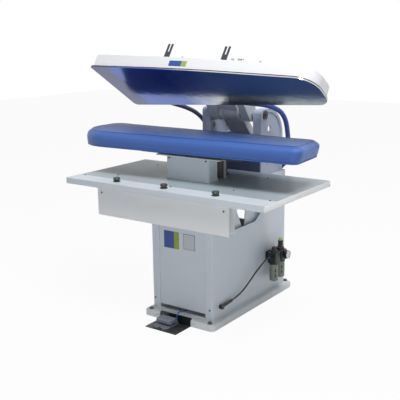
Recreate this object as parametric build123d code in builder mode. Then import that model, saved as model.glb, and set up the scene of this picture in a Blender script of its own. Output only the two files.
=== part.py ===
from build123d import *
from math import atan2, cos, degrees, pi, radians, sin, tan
import os

os.makedirs("parts", exist_ok=True)

# Steam ironing press, in millimetres.
# The origin is the middle of the plinth on the floor. X runs to the operator's right,
# Y to the back and Z up. The head is drawn open, as it rests.

# Plinth and cabinet
plinth_width = 480
plinth_depth = 892
plinth_height = 37
plinth_wall = 5
plinth_corner = 24
plinth_edge = 10
cabinet_width = 415
cabinet_front = -402
cabinet_back = 397
sheet = 2
post_width = 50
post_return = 11
cabinet_corner = 10
rear_flange = 20
window_sill = 512
window_front = -350
window_slope_start = 44
window_slope_end = 100
window_slope_rise = 33
rear_panel_top = 410
door_recess = 8
door_bottom = 72
door_fold = 8
door_gap = 0.5
sill_height = 11
sill_depth = 12
running_gap = 0.3

# Floor bolts
bolt_inset_x = 35
bolt_inset_y = 22
bolt_radius = 6
bolt_hole = 7
bolt_head = 19
bolt_head_height = 8
washer_radius = 14
washer_thickness = 2.5
bolt_foot = 4

# Welded frame of square tube
tube = 40
frame_front_y = -365
frame_middle_y = 130
frame_back_y = 340
frame_rail_top = 490

# Work table, control strip and apron
table_width = 1300
table_front = -621
table_back = 83
table_middle_x = 8
table_top_z = 797
table_thickness = 32
strip_depth = 113
strip_sheet = 1.5
edge_sheet = 2
apron_width = 874
apron_front = -584
apron_bottom = 602
apron_lip = 31
control_back_y = -534
beam_reach = -530
gusset_thickness = 6

# Buttons
button_pitch = 328
button_middle_x = 14
button_y = -560
collar_radius = 15.5
collar_height = 14
cap_radius = 19.5
cap_height = 12
cap_skirt = 6
cap_wall = 2
stem_radius = 9
stem_clearance = 0.5
thread_radius = 11
valve_size = 30
valve_height = 50

# Pedestal and buck
pedestal_width = 287
pedestal_front = -330
pedestal_depth = 84
pedestal_wall = 4
support_top = 930
flange_thickness = 6
pedestal_flange = 430
rail_height = 23
rail_width = 40
rail_length = 686
duct_width = 190
duct_front = -220
duct_depth = 150
duct_collar = 110
duct_clearance = 1
neck_width = 170
neck_depth = 90
pipe_radius = 10.5
pipe_x = 122
pipe_y = -150
buck_corners = [(-775, -448), (700, -375), (672, -62), (-778, -22)]
buck_radii = [230, 45, 60, 90]
cover_height = 95
side_height = 68
cover_wall = 12
chest_height = 59
pipe_wall = 3
pipe_drop = 60
chest_wall = 10
lid_thickness = 4
felt_thickness = 12
soft_gap = 0.4

# Side castings and pivot
pivot_y = 155
pivot_z = 1122
cheek_width = 54
cheek_front = 109
cheek_back = 364
cheek_top = 1154
cheek_nose = 24
cheek_shoulder = 170
cheek_wall = 10
cheek_web = 9
cheek_rim = 20
cheek_recess = 5
cheek_foot = 15
pivot_boss = 39
lock_hole = 18
lock_hole_y = 212
lock_hole_z = 1037
shaft_radius = 19
running_clearance = 0.05
bush_wall = 6
cap_disc_radius = 25
cap_disc = 9

# Head, drawn in its own frame: v backwards and w upwards from the pivot, as when shut
open_angle = 34
press_gap = 0.5
head_corners = [(-632, -463), (0, -454), (756, -398), (756, -147), (-610, -20)]
head_radii = [10, 9000, 115, 80, 24]
sole_thickness = 6
rim_thickness = 6
rim_width = 15
casing_left_height = 79
casing_right_height = 67
casing_inset = 10
casing_sheet = 2
casing_edge = 6
head_chest_height = 32
head_chest_inset = 18
arm_left_x = -150
arm_right_x = 72
arm_width = 50
arm_reach = 430
arm_hub = 44
arm_top = 50
arm_tip = 30
arm_foot = 12
arm_foot_length = 150
collar_width = 24
collar_disc = 28
lever_left = -100
lever_right = 37
lever_angle = 14.3
lever_front = -170
lever_shoulder = 205
lever_pin = 250
lever_end = 282
lever_chamfer = 18
lever_face = -8
lever_thickness = 46
lug_width = 24
slot_travel = 20
slot_clearance = 3
slot_shift = 1.2

# Closing cylinder
cylinder_pin_y = 340
cylinder_pin_z = 562
pin_radius = 10
barrel_radius = 44
barrel_wall = 4
cylinder_cap = 96
cap_thickness = 20
barrel_length = 215
rod_radius = 12.5
piston_thickness = 25
fork_wall = 12
fork_depth = 40
tie_rod_radius = 4
tie_rod_place = 40
beam_bottom = 502
beam_height = 36
beam_depth = 66

# Return springs
spring_places = [-121.5, 58.5]
spring_radius = 18
spring_wire = 3.2
spring_turns = 16
spring_bar_radius = 8
spring_bar_place = 195
spring_bar_end = 24
spring_lug = 18

# Steam pipework
hose_radius = 14
manifold_radius = 16
manifold_z = 510
manifold_half = 148
port_x = 100
port_height = 24

# Air service unit on the right side
unit_x = 262
lubricator_y = 177
unit_pitch = 76
unit_body = 60
unit_body_bottom = 238
unit_body_height = 62
bowl_radius = 27
bowl_height = 110
knob_radius = 15
knob_height = 42
gauge_radius = 26

# Foot pedal
pedal_middle = -16
pedal_width = 212
pedal_front = -585
pedal_sheet = 3
pedal_back_height = 53
treadle_width = 98
treadle_depth = 52
treadle_top = 46

# Values worked out from the sizes above
half = cabinet_width / 2
table_under = table_top_z - table_thickness
cover_bottom = support_top + rail_height
pad_top = cover_bottom + cover_height
sole_w = pad_top + press_gap - pivot_z
rim_w = sole_w + sole_thickness
casing_w = rim_w + rim_thickness
casing_slope = (casing_left_height - casing_right_height) / (head_corners[2][0] - head_corners[0][0])
cheek_outer = half - sheet - running_gap
cheek_inner = cheek_outer - cheek_width
web_outer = cheek_outer - cheek_recess
web_inner = web_outer - cheek_web
bush_radius = shaft_radius + bush_wall
tilt_sin = sin(radians(open_angle))
tilt_cos = cos(radians(open_angle))
strip_top = table_top_z + strip_sheet
bolt_x = plinth_width / 2 - bolt_inset_x
bolt_y = plinth_depth / 2 - bolt_inset_y
bolt_places = [(x, y) for x in (-bolt_x, bolt_x) for y in (-bolt_y, bolt_y)]
button_places = [button_middle_x + step * button_pitch for step in (-1, 0, 1)]
lever_x = (lever_left + lever_right) / 2
frame_x = cheek_outer - tube / 2


def level(z):
    """Flat plane at a height."""
    return Plane.XY.offset(z)


def facing_front(y):
    """Upright plane that faces the operator: sketch X is +X, sketch Y is +Z."""
    return Plane(origin=(0, y, 0), x_dir=(1, 0, 0), z_dir=(0, -1, 0))


def facing_right(x):
    """Upright plane that faces right: sketch X is +Y, sketch Y is +Z."""
    return Plane(origin=(x, 0, 0), x_dir=(0, 1, 0), z_dir=(1, 0, 0))


def head_level(w):
    """Plane parallel to the sole at height w above the pivot in the head's own frame."""
    return Plane(
        origin=(0, pivot_y + w * tilt_sin, pivot_z + w * tilt_cos),
        x_dir=(1, 0, 0),
        z_dir=(0, tilt_sin, tilt_cos),
    )


def head_side(x):
    """Upright plane in the head's own frame: sketch X is v, sketch Y is w."""
    return Plane(origin=(x, pivot_y, pivot_z), x_dir=(0, tilt_cos, -tilt_sin), z_dir=(1, 0, 0))


def head_point(x, v, w):
    """A point of the head's own frame, in the frame of the whole press."""
    return Vector(x, pivot_y + v * tilt_cos + w * tilt_sin, pivot_z - v * tilt_sin + w * tilt_cos)


def casing_top(x):
    """Height of the top of the casing in the head's own frame; it falls towards the right."""
    return casing_w + casing_left_height - (x - head_corners[0][0]) * casing_slope


def casing_level(x, v, lift=0.0):
    """Plane on the sloping top of the casing, or at a distance from it."""
    face = Plane(
        origin=head_point(x, v, casing_top(x)),
        x_dir=(1, -casing_slope * tilt_sin, -casing_slope * tilt_cos),
        z_dir=(casing_slope, tilt_sin, tilt_cos),
    )
    return face.offset(lift)


def inset_corners(corners, inset):
    """Corners of a plan, counter-clockwise, with every side moved inwards."""
    points = [Vector(*corner) for corner in corners]
    moved = []
    for i, here in enumerate(points):
        into = (here - points[i - 1]).normalized()
        out = (points[(i + 1) % len(points)] - here).normalized()
        normal_in = Vector(-into.Y, into.X)
        normal_out = Vector(-out.Y, out.X)
        shift = (normal_in + normal_out) * (inset / (1 + normal_in.dot(normal_out)))
        moved.append((here.X + shift.X, here.Y + shift.Y))
    return moved


def plan_face(plane, corners, radii, inset=0.0):
    """Sketch of a rounded plan moved inwards, on a plane."""
    with BuildSketch(plane) as face:
        with BuildLine():
            FilletPolyline(
                *inset_corners(corners, inset),
                radius=[max(radius - inset, 0.35 * radius) for radius in radii],
                close=True,
            )
        make_face()
    return face.sketch


def save(piece, name):
    """Label a finished piece and write it under its own name."""
    piece.part.label = name
    export_step(piece.part, f"parts/{name}.step")


head_plan = [(x, y - pivot_y) for x, y in head_corners]


# Plinth: a pressed steel tray that lies on the floor
with BuildPart() as base_plinth:
    with BuildSketch(Plane.XY):
        RectangleRounded(plinth_width, plinth_depth, plinth_corner)
    extrude(amount=plinth_height)
    fillet(base_plinth.faces().sort_by(Axis.Z)[-1].edges(), radius=plinth_edge)
    with BuildSketch(Plane.XY):
        RectangleRounded(
            plinth_width - 2 * plinth_wall, plinth_depth - 2 * plinth_wall, plinth_corner - plinth_wall
        )
    extrude(amount=plinth_height - plinth_wall, mode=Mode.SUBTRACT)
    with Locations(*[(x, y, plinth_height) for x, y in bolt_places]):
        Hole(bolt_hole, depth=plinth_wall)
save(base_plinth, "base_plinth")

# Four hexagon bolts with washers through the corners of the plinth
with BuildPart() as floor_bolts:
    with BuildSketch(level(bolt_foot)):
        with Locations(*bolt_places):
            Circle(bolt_radius)
    extrude(amount=plinth_height - bolt_foot)
    with BuildSketch(level(plinth_height)):
        with Locations(*bolt_places):
            Circle(washer_radius)
    extrude(amount=washer_thickness)
    with BuildSketch(level(plinth_height + washer_thickness)):
        with Locations(*bolt_places):
            RegularPolygon(bolt_head / 2, 6, major_radius=False)
    extrude(amount=bolt_head_height)
save(floor_bolts, "floor_bolts")


# Frame: uprights, rails, table beams and gussets, welded together, and the front sill
front_gusset = [
    (frame_front_y + tube / 2, frame_rail_top),
    (-63, frame_rail_top),
    (-183, table_under - tube),
    (frame_front_y + tube / 2, table_under - tube),
]
back_gusset = [
    (-43, frame_rail_top),
    (cheek_front - running_gap, frame_rail_top),
    (cheek_front - running_gap, table_under - tube),
    (-8, table_under - tube),
]
frame_posts = [
    (frame_front_y, table_under - tube),
    (frame_middle_y, frame_rail_top),
    (frame_back_y, frame_rail_top),
]
with BuildPart() as main_frame:
    for side in (-1, 1):
        for post_y, post_top in frame_posts:
            with BuildSketch(level(plinth_height)):
                with Locations((side * frame_x, post_y)):
                    Rectangle(tube, tube)
            extrude(amount=post_top - plinth_height)
        with BuildSketch(facing_right(side * frame_x)):
            with Locations(((frame_front_y + frame_back_y) / 2, frame_rail_top - tube / 2)):
                Rectangle(frame_back_y - frame_front_y + tube, tube)
        extrude(amount=tube / 2, both=True)
    for cross_y, cross_z in ((frame_front_y, frame_rail_top - tube), (frame_back_y, plinth_height)):
        with BuildSketch(level(cross_z)):
            with Locations((0, cross_y)):
                Rectangle(2 * frame_x, tube)
        extrude(amount=tube)
    for side in (-1, 1):
        with BuildSketch(facing_right(side * frame_x)):
            with Locations(((beam_reach + cheek_front - running_gap) / 2, table_under - tube / 2)):
                Rectangle(cheek_front - running_gap - beam_reach, tube)
        extrude(amount=tube / 2, both=True)
        for outline in (front_gusset, back_gusset):
            with BuildSketch(facing_right(side * frame_x)):
                with BuildLine():
                    Polyline(*outline, close=True)
                make_face()
            extrude(amount=gusset_thickness / 2, both=True)
    for rail_y, rail_half in ((beam_reach + tube / 2, apron_width / 2 - 8), (40, 580)):
        with BuildSketch(facing_front(rail_y)):
            with Locations((0, table_under - tube / 2)):
                Rectangle(2 * rail_half, tube)
        extrude(amount=tube / 2, both=True)
    with BuildSketch(level(plinth_height)):
        with Locations((0, cabinet_front + door_recess + sill_depth / 2)):
            Rectangle(cabinet_width - 2 * post_width - 2 * running_gap, sill_depth)
    extrude(amount=sill_height)
save(main_frame, "main_frame")


# Side panels: folded sheet with the front post, the rear flange and the upper window
def side_panel(side):
    outer = half
    inner = half - sheet
    post_edge = half - post_width
    profile = [
        (side * post_edge, cabinet_front + post_return),
        (side * post_edge, cabinet_front),
        (side * outer, cabinet_front),
        (side * outer, cabinet_back),
        (side * (outer - rear_flange), cabinet_back),
        (side * (outer - rear_flange), cabinet_back - sheet),
        (side * inner, cabinet_back - sheet),
        (side * inner, cabinet_front + sheet),
        (side * (post_edge + sheet), cabinet_front + sheet),
        (side * (post_edge + sheet), cabinet_front + post_return),
    ]
    outer_rounding = [0, cabinet_corner / 2, cabinet_corner, 0, 0]
    inner_rounding = [0, 0, cabinet_corner - sheet, cabinet_corner / 2 - sheet, 0]
    rounding = outer_rounding + inner_rounding
    window = [
        (window_front, window_sill),
        (window_slope_start, window_sill),
        (window_slope_end, window_sill + window_slope_rise),
        (window_slope_end, table_under),
        (window_front, table_under),
    ]
    with BuildPart() as panel:
        with BuildSketch(level(plinth_height)):
            with BuildLine():
                FilletPolyline(*profile, radius=rounding, close=True)
            make_face()
        extrude(amount=table_under - plinth_height)
        with BuildSketch(facing_right(side * half)):
            with BuildLine():
                Polyline(*window, close=True)
            make_face()
        extrude(amount=2 * sheet, both=True, mode=Mode.SUBTRACT)
        with BuildSketch(facing_front(cabinet_front + post_return + sheet)):
            with Locations((side * frame_x, table_under - tube / 2)):
                Rectangle(tube + 2 * running_gap, tube + 2 * running_gap)
        extrude(amount=post_return + 2 * sheet, mode=Mode.SUBTRACT)
    return panel


save(side_panel(-1), "side_panel_left")
save(side_panel(1), "side_panel_right")

# Rear panel: closes the lower back, between the flanges of the side panels
with BuildPart() as rear_panel:
    rear_panel_width = cabinet_width - 2 * sheet - 2 * running_gap
    with BuildSketch(level(plinth_height)):
        with Locations((0, cabinet_back - 1.5 * sheet - running_gap)):
            Rectangle(rear_panel_width, sheet)
    extrude(amount=rear_panel_top - plinth_height)
save(rear_panel, "rear_panel")

# Front door panel: a folded pan set back between the posts, open below for the tubes
door_width = cabinet_width - 2 * post_width - 2 * door_gap
with BuildPart() as front_door:
    door_face = cabinet_front + door_recess
    with BuildSketch(level(door_bottom)):
        with Locations((0, door_face + sheet / 2)):
            Rectangle(door_width, sheet)
        for side in (-1, 1):
            with Locations((side * (door_width - sheet) / 2, door_face + door_fold / 2)):
                Rectangle(sheet, door_fold)
    extrude(amount=table_under - door_bottom)
save(front_door, "front_door")

# Blank plates on the door: a wide plate in two parts and a plain tag
door_plate_thickness = 0.8
door_plate_places = [(-124, -54.3, 415, 514), (-54, -19, 415, 514), (12, 90, 424, 512)]
with BuildPart() as door_plates:
    for left, right, bottom, top in door_plate_places:
        with BuildSketch(facing_front(cabinet_front + door_recess)):
            with Locations(((left + right) / 2, (bottom + top) / 2)):
                RectangleRounded(right - left, top - bottom, 2)
        extrude(amount=door_plate_thickness)
save(door_plates, "door_plates")


# Work table: a laminated board with holes for the duct, the pipes and the button valves
duct_middle = duct_front + duct_depth / 2
with BuildPart() as table_top:
    with BuildSketch(level(table_under)):
        board_front = table_front + edge_sheet
        with Locations((table_middle_x, (board_front + table_back) / 2)):
            RectangleRounded(table_width, table_back - board_front, 6)
    extrude(amount=table_thickness)
    with BuildSketch(level(table_under)):
        with Locations((0, duct_middle)):
            Rectangle(duct_width - 10, duct_depth - 10)
        with Locations((-pipe_x, pipe_y), (pipe_x, pipe_y)):
            Circle(pipe_radius + duct_clearance)
        with Locations(*[(x, button_y) for x in button_places]):
            Circle(thread_radius + stem_clearance)
    extrude(amount=table_thickness, mode=Mode.SUBTRACT)
save(table_top, "table_top")

# Control strip: folded sheet along the front of the table, over its edge
with BuildPart() as control_strip:
    with BuildSketch(level(table_top_z)):
        with Locations((table_middle_x, table_front + strip_depth / 2)):
            Rectangle(table_width, strip_depth)
    extrude(amount=strip_sheet)
    with BuildSketch(level(table_under)):
        with Locations((table_middle_x, table_front + edge_sheet / 2)):
            Rectangle(table_width, edge_sheet)
    extrude(amount=table_thickness)
    with Locations(*[(x, button_y, strip_top) for x in button_places]):
        Hole(thread_radius + stem_clearance, depth=strip_sheet)
    corner_edges = control_strip.edges().filter_by(Axis.X).group_by(Axis.Z)[-1].sort_by(Axis.Y)[0:1]
    fillet(corner_edges, radius=1.4)
save(control_strip, "control_strip")

# Apron: the long panel under the front of the table, with its lower lip and its back plate
with BuildPart() as apron:
    with BuildSketch(level(apron_bottom)):
        with Locations((0, apron_front + sheet / 2)):
            Rectangle(apron_width, sheet)
    extrude(amount=table_under - apron_bottom)
    with BuildSketch(level(apron_bottom)):
        with Locations((0, apron_front + apron_lip / 2)):
            Rectangle(apron_width, apron_lip)
    extrude(amount=sheet)
    lower_edge = apron.edges().filter_by(Axis.X).group_by(Axis.Z)[0].sort_by(Axis.Y)[0:1]
    fillet(lower_edge, radius=1.8)
    with BuildSketch(level(apron_bottom + 10)):
        with Locations((0, control_back_y + sheet / 2)):
            Rectangle(apron_width, sheet)
    extrude(amount=table_under - apron_bottom - 10)
save(apron, "apron")

# Pan-head screws: on the posts, the apron, the table, the strip and the pedestal
screw_radius = 5
screw_height = 2.6
front_screws = [
    (cabinet_front, [(-190, 103), (190, 103), (-190, 560), (190, 560)]),
    (apron_front, [(-406, 731), (406, 731)]),
    (pedestal_front, [(-124, 916), (124, 916)]),
]
top_screws = [
    (table_top_z, [(-444, -403), (346, -400), (-444, -37), (339, -37)]),
    (strip_top, [(-596, -514), (24, -514), (628, -514)]),
]
with BuildPart() as panel_screws:
    for seat, places in front_screws:
        with BuildSketch(facing_front(seat)):
            with Locations(*places):
                Circle(screw_radius)
        extrude(amount=screw_height)
        with BuildSketch(facing_front(seat - screw_height)):
            with Locations(*places):
                Circle(screw_radius * 0.4)
        extrude(amount=-1.2, mode=Mode.SUBTRACT)
    for seat, places in top_screws:
        with BuildSketch(level(seat)):
            with Locations(*places):
                Circle(screw_radius)
        extrude(amount=screw_height)
        with BuildSketch(level(seat + screw_height)):
            with Locations(*places):
                Circle(screw_radius * 0.4)
        extrude(amount=-1.2, mode=Mode.SUBTRACT)
save(panel_screws, "panel_screws")


# Buttons: each has a collar on the strip, a valve under the board and a cap that slides
with BuildPart() as button_valves:
    for x in button_places:
        with BuildSketch(level(strip_top)):
            with Locations((x, button_y)):
                Circle(collar_radius)
        extrude(amount=collar_height)
        with BuildSketch(level(strip_top)):
            with Locations((x, button_y)):
                Circle(thread_radius)
        extrude(amount=-(table_thickness + strip_sheet))
        with BuildSketch(level(table_under)):
            with Locations((x, button_y)):
                RectangleRounded(valve_size, valve_size, 3)
        extrude(amount=-valve_height)
    with Locations(*[(x, button_y, strip_top + collar_height) for x in button_places]):
        Hole(stem_radius + stem_clearance, depth=collar_height + 12)
save(button_valves, "button_valves")

cap_base = strip_top + collar_height - 1.5
for name, x in zip(("button_left", "button_middle", "button_right"), button_places):
    with BuildPart() as button:
        with BuildSketch(level(cap_base)):
            with Locations((x, button_y)):
                Circle(cap_radius)
        extrude(amount=cap_height)
        fillet(button.edges().filter_by(GeomType.CIRCLE).sort_by(Axis.Z)[-1], radius=6)
        with BuildSketch(level(cap_base)):
            with Locations((x, button_y)):
                Circle(cap_radius - cap_wall)
        extrude(amount=cap_skirt, mode=Mode.SUBTRACT)
        with BuildSketch(level(cap_base + cap_skirt)):
            with Locations((x, button_y)):
                Circle(stem_radius)
        extrude(amount=-cap_skirt - 10)
    save(button, name)


# Pedestal: a box of sheet steel with a wide top flange
with BuildPart() as pedestal:
    pedestal_middle = pedestal_front + pedestal_depth / 2
    with BuildSketch(level(table_top_z)):
        with Locations((0, pedestal_middle)):
            RectangleRounded(pedestal_width, pedestal_depth, 7)
            Rectangle(
                pedestal_width - 2 * pedestal_wall,
                pedestal_depth - 2 * pedestal_wall,
                mode=Mode.SUBTRACT,
            )
    extrude(amount=support_top - flange_thickness - table_top_z)
    with BuildSketch(level(support_top - flange_thickness)):
        with Locations((0, pedestal_middle)):
            Rectangle(pedestal_flange, pedestal_depth + 6)
    extrude(amount=flange_thickness)
save(pedestal, "pedestal")

# Vacuum duct: from the steam chest down through the table
with BuildPart() as vacuum_duct:
    with BuildSketch(level(table_top_z)):
        with Locations((0, duct_middle)):
            RectangleRounded(duct_width, duct_depth, 8)
    extrude(amount=support_top - flange_thickness - table_top_z)
    with BuildSketch(level(support_top - flange_thickness)):
        with Locations((0, duct_middle)):
            Rectangle(duct_width + 30, duct_depth + 30)
    extrude(amount=flange_thickness)
    with BuildSketch(level(support_top)):
        with Locations((0, duct_front + neck_depth / 2)):
            Rectangle(neck_width, neck_depth)
    extrude(amount=rail_height)
    with BuildSketch(level(table_top_z)):
        with Locations((0, duct_middle)):
            Rectangle(duct_width - 10 - 2 * duct_clearance, duct_depth - 10 - 2 * duct_clearance)
    extrude(amount=-duct_collar)
    with BuildSketch(level(table_top_z - duct_collar)):
        with Locations((0, duct_middle)):
            Rectangle(duct_width - 20, duct_depth - 20)
    extrude(amount=duct_collar + support_top - flange_thickness - table_top_z, mode=Mode.SUBTRACT)
    with BuildSketch(level(cover_bottom)):
        with Locations((0, duct_front + neck_depth / 2)):
            Rectangle(neck_width - 12, neck_depth - 12)
    extrude(amount=-rail_height - flange_thickness, mode=Mode.SUBTRACT)
save(vacuum_duct, "vacuum_duct")

# Rails: two channels along the buck, one on the pedestal and one on the duct
with BuildPart() as buck_rails:
    for rail_y in (pedestal_middle, duct_middle + 45):
        with BuildSketch(facing_right(0)):
            with Locations((rail_y, support_top + rail_height / 2)):
                Rectangle(rail_width, rail_height)
                with Locations((0, -2)):
                    Rectangle(rail_width - 6, rail_height - 4, mode=Mode.SUBTRACT)
        extrude(amount=rail_length / 2, both=True)
save(buck_rails, "buck_rails")

# Steam chest: a cast tray with a ribbed floor
chest_floor = 8
chest_rib_spacing = 240
chest_inset = cover_wall + soft_gap
lid_bottom = cover_bottom + chest_height
with BuildPart() as steam_chest:
    extrude(
        plan_face(level(cover_bottom), buck_corners, buck_radii, chest_inset),
        amount=chest_height,
    )
    extrude(
        plan_face(level(cover_bottom + chest_floor), buck_corners, buck_radii, chest_inset + chest_wall),
        amount=chest_height - chest_floor,
        mode=Mode.SUBTRACT,
    )
    with BuildSketch(level(cover_bottom + chest_floor)):
        for place in range(-2, 3):
            with Locations((place * chest_rib_spacing, -230)):
                Rectangle(8, 240)
    extrude(amount=chest_height - chest_floor)
    with BuildSketch(level(cover_bottom)):
        with Locations((-pipe_x, pipe_y), (pipe_x, pipe_y)):
            Circle(pipe_radius - pipe_wall)
    extrude(amount=chest_floor, mode=Mode.SUBTRACT)
    with BuildSketch(level(cover_bottom)):
        with Locations((0, duct_front + neck_depth / 2)):
            Rectangle(neck_width - 30, neck_depth - 30)
    extrude(amount=chest_floor, mode=Mode.SUBTRACT)
save(steam_chest, "steam_chest")

# Two pipes from the floor of the chest down through the table
with BuildPart() as chest_pipes:
    with BuildSketch(level(cover_bottom)):
        with Locations((-pipe_x, pipe_y), (pipe_x, pipe_y)):
            Circle(pipe_radius)
            Circle(pipe_radius - pipe_wall, mode=Mode.SUBTRACT)
    extrude(amount=-(cover_bottom - table_under + pipe_drop))
save(chest_pipes, "chest_pipes")

# Perforated lid of the steam chest
with BuildPart() as chest_lid:
    extrude(plan_face(level(lid_bottom), buck_corners, buck_radii, chest_inset), amount=lid_thickness)
    with BuildSketch(level(lid_bottom)):
        with Locations((-20, -235)):
            with GridLocations(92, 72, 14, 4):
                Circle(4)
    extrude(amount=lid_thickness, mode=Mode.SUBTRACT)
save(chest_lid, "chest_lid")

# Felt under the cover
felt_bottom = lid_bottom + lid_thickness + soft_gap
with BuildPart() as felt_pad:
    extrude(plan_face(level(felt_bottom), buck_corners, buck_radii, cover_wall + 3), amount=felt_thickness)
save(felt_pad, "felt_pad")

# Padded cloth cover: drawn in under the edge, with upright sides, a soft shoulder and a crown
cover_profile = [
    (0, 6),
    (8, 0),
    (side_height, 0),
    (side_height + 9, 11),
    (side_height + 16, 36),
    (side_height + 22, 80),
    (cover_height, 122),
]
with BuildPart() as buck_cover:
    cover_sections = [
        plan_face(level(cover_bottom + rise), buck_corners, buck_radii, inset)
        for rise, inset in cover_profile
    ]
    loft(cover_sections, ruled=True)
    extrude(
        plan_face(level(cover_bottom), buck_corners, buck_radii, cover_wall),
        amount=felt_bottom + felt_thickness + soft_gap - cover_bottom,
        mode=Mode.SUBTRACT,
    )
save(buck_cover, "buck_cover")

# Cheeks: cast channel-shaped side frames that carry the pivot
def cheek_outline(wall, foot):
    return [
        (cheek_front + wall, foot),
        (cheek_front + wall, cheek_top - wall),
        (cheek_back - wall, cheek_top - wall),
        (cheek_back - wall, foot),
    ]


def cheek(side):
    with BuildPart() as casting:
        with BuildSketch(facing_right(side * cheek_outer)):
            with BuildLine():
                FilletPolyline(
                    *cheek_outline(0, frame_rail_top),
                    radius=[0, cheek_nose, cheek_shoulder, 0],
                    close=True,
                )
            make_face()
        extrude(amount=-side * cheek_width)
        with BuildSketch(facing_right(side * cheek_inner)):
            with BuildLine():
                FilletPolyline(
                    *cheek_outline(cheek_wall, frame_rail_top + cheek_foot),
                    radius=[0, cheek_nose - cheek_wall, cheek_shoulder - cheek_wall, 0],
                    close=True,
                )
            make_face()
        extrude(amount=side * (web_inner - cheek_inner), mode=Mode.SUBTRACT)
        with BuildSketch(facing_right(side * cheek_outer)):
            with BuildLine():
                FilletPolyline(
                    *cheek_outline(cheek_rim, table_under),
                    radius=[6, cheek_nose / 2, cheek_shoulder - cheek_rim, 6],
                    close=True,
                )
            make_face()
        extrude(amount=-side * cheek_recess, mode=Mode.SUBTRACT)
        with BuildSketch(facing_right(side * web_outer)):
            with Locations((pivot_y, pivot_z - 14)):
                Circle(pivot_boss)
        extrude(amount=-side * (web_outer - cheek_inner))
        with BuildSketch(facing_right(side * cheek_outer)):
            with Locations((pivot_y, pivot_z)):
                Circle(bush_radius)
            with Locations((lock_hole_y, lock_hole_z)):
                Circle(lock_hole)
        extrude(amount=-side * cheek_width, mode=Mode.SUBTRACT)
    return casting


save(cheek(-1), "cheek_left")
save(cheek(1), "cheek_right")

# Bronze bushes in the cheeks
with BuildPart() as shaft_bushes:
    for side in (-1, 1):
        with BuildSketch(facing_right(side * web_outer)):
            with Locations((pivot_y, pivot_z)):
                Circle(bush_radius - running_clearance)
                Circle(shaft_radius + running_clearance, mode=Mode.SUBTRACT)
        extrude(amount=-side * (web_outer - cheek_inner))
save(shaft_bushes, "shaft_bushes")

# Black caps over the ends of the shaft
with BuildPart() as bearing_caps:
    for side in (-1, 1):
        with BuildSketch(facing_right(side * (web_outer + running_gap))):
            with Locations((pivot_y, pivot_z)):
                Circle(cap_disc_radius)
        extrude(amount=side * cap_disc)
        with BuildSketch(facing_right(side * (web_outer + running_gap + cap_disc))):
            with Locations((pivot_y, pivot_z)):
                RegularPolygon(9, 6)
        extrude(amount=side * 5)
save(bearing_caps, "bearing_caps")


# Pivot shaft with its two collars, which turns in the bushes with the head
with BuildPart() as pivot_shaft:
    with BuildSketch(facing_right(0)):
        with Locations((pivot_y, pivot_z)):
            Circle(shaft_radius)
    extrude(amount=web_outer - 1, both=True)
save(pivot_shaft, "pivot_shaft")


# Arms: cast levers with a split hub on the shaft and a foot on top of the head casing
def arm_outline(x):
    underside = casing_top(x) + arm_foot / 2
    return [
        (0, arm_top),
        (-arm_reach, underside + arm_tip),
        (-arm_reach, underside),
        (-165, underside),
        (-26, -38),
        (0, -30),
    ]


def head_arm(x, collar_x, collar_radius_here):
    with BuildPart() as arm:
        with BuildSketch(head_side(x)):
            with BuildLine():
                Polyline(*arm_outline(x), close=True)
            make_face()
            Circle(arm_hub)
        extrude(amount=arm_width)
        with BuildSketch(casing_level(x + arm_width / 2, (arm_foot_length - 2 * arm_reach) / 2)):
            Rectangle(arm_width, arm_foot_length)
        extrude(amount=arm_foot)
        with BuildSketch(head_side(collar_x)):
            Circle(collar_radius_here)
        extrude(amount=collar_width)
        with BuildSketch(head_side(min(x, collar_x))):
            Circle(shaft_radius + running_clearance)
        extrude(amount=arm_width + collar_width, mode=Mode.SUBTRACT)
    return arm


save(head_arm(arm_right_x, arm_right_x - collar_width, collar_disc), "arm_right")


def lever_point(along, across):
    """Point of the tail lever, along it and square to it, in the head's side plane."""
    lean = radians(lever_angle)
    return (along * cos(lean) + across * sin(lean), -along * sin(lean) + across * cos(lean))


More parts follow.
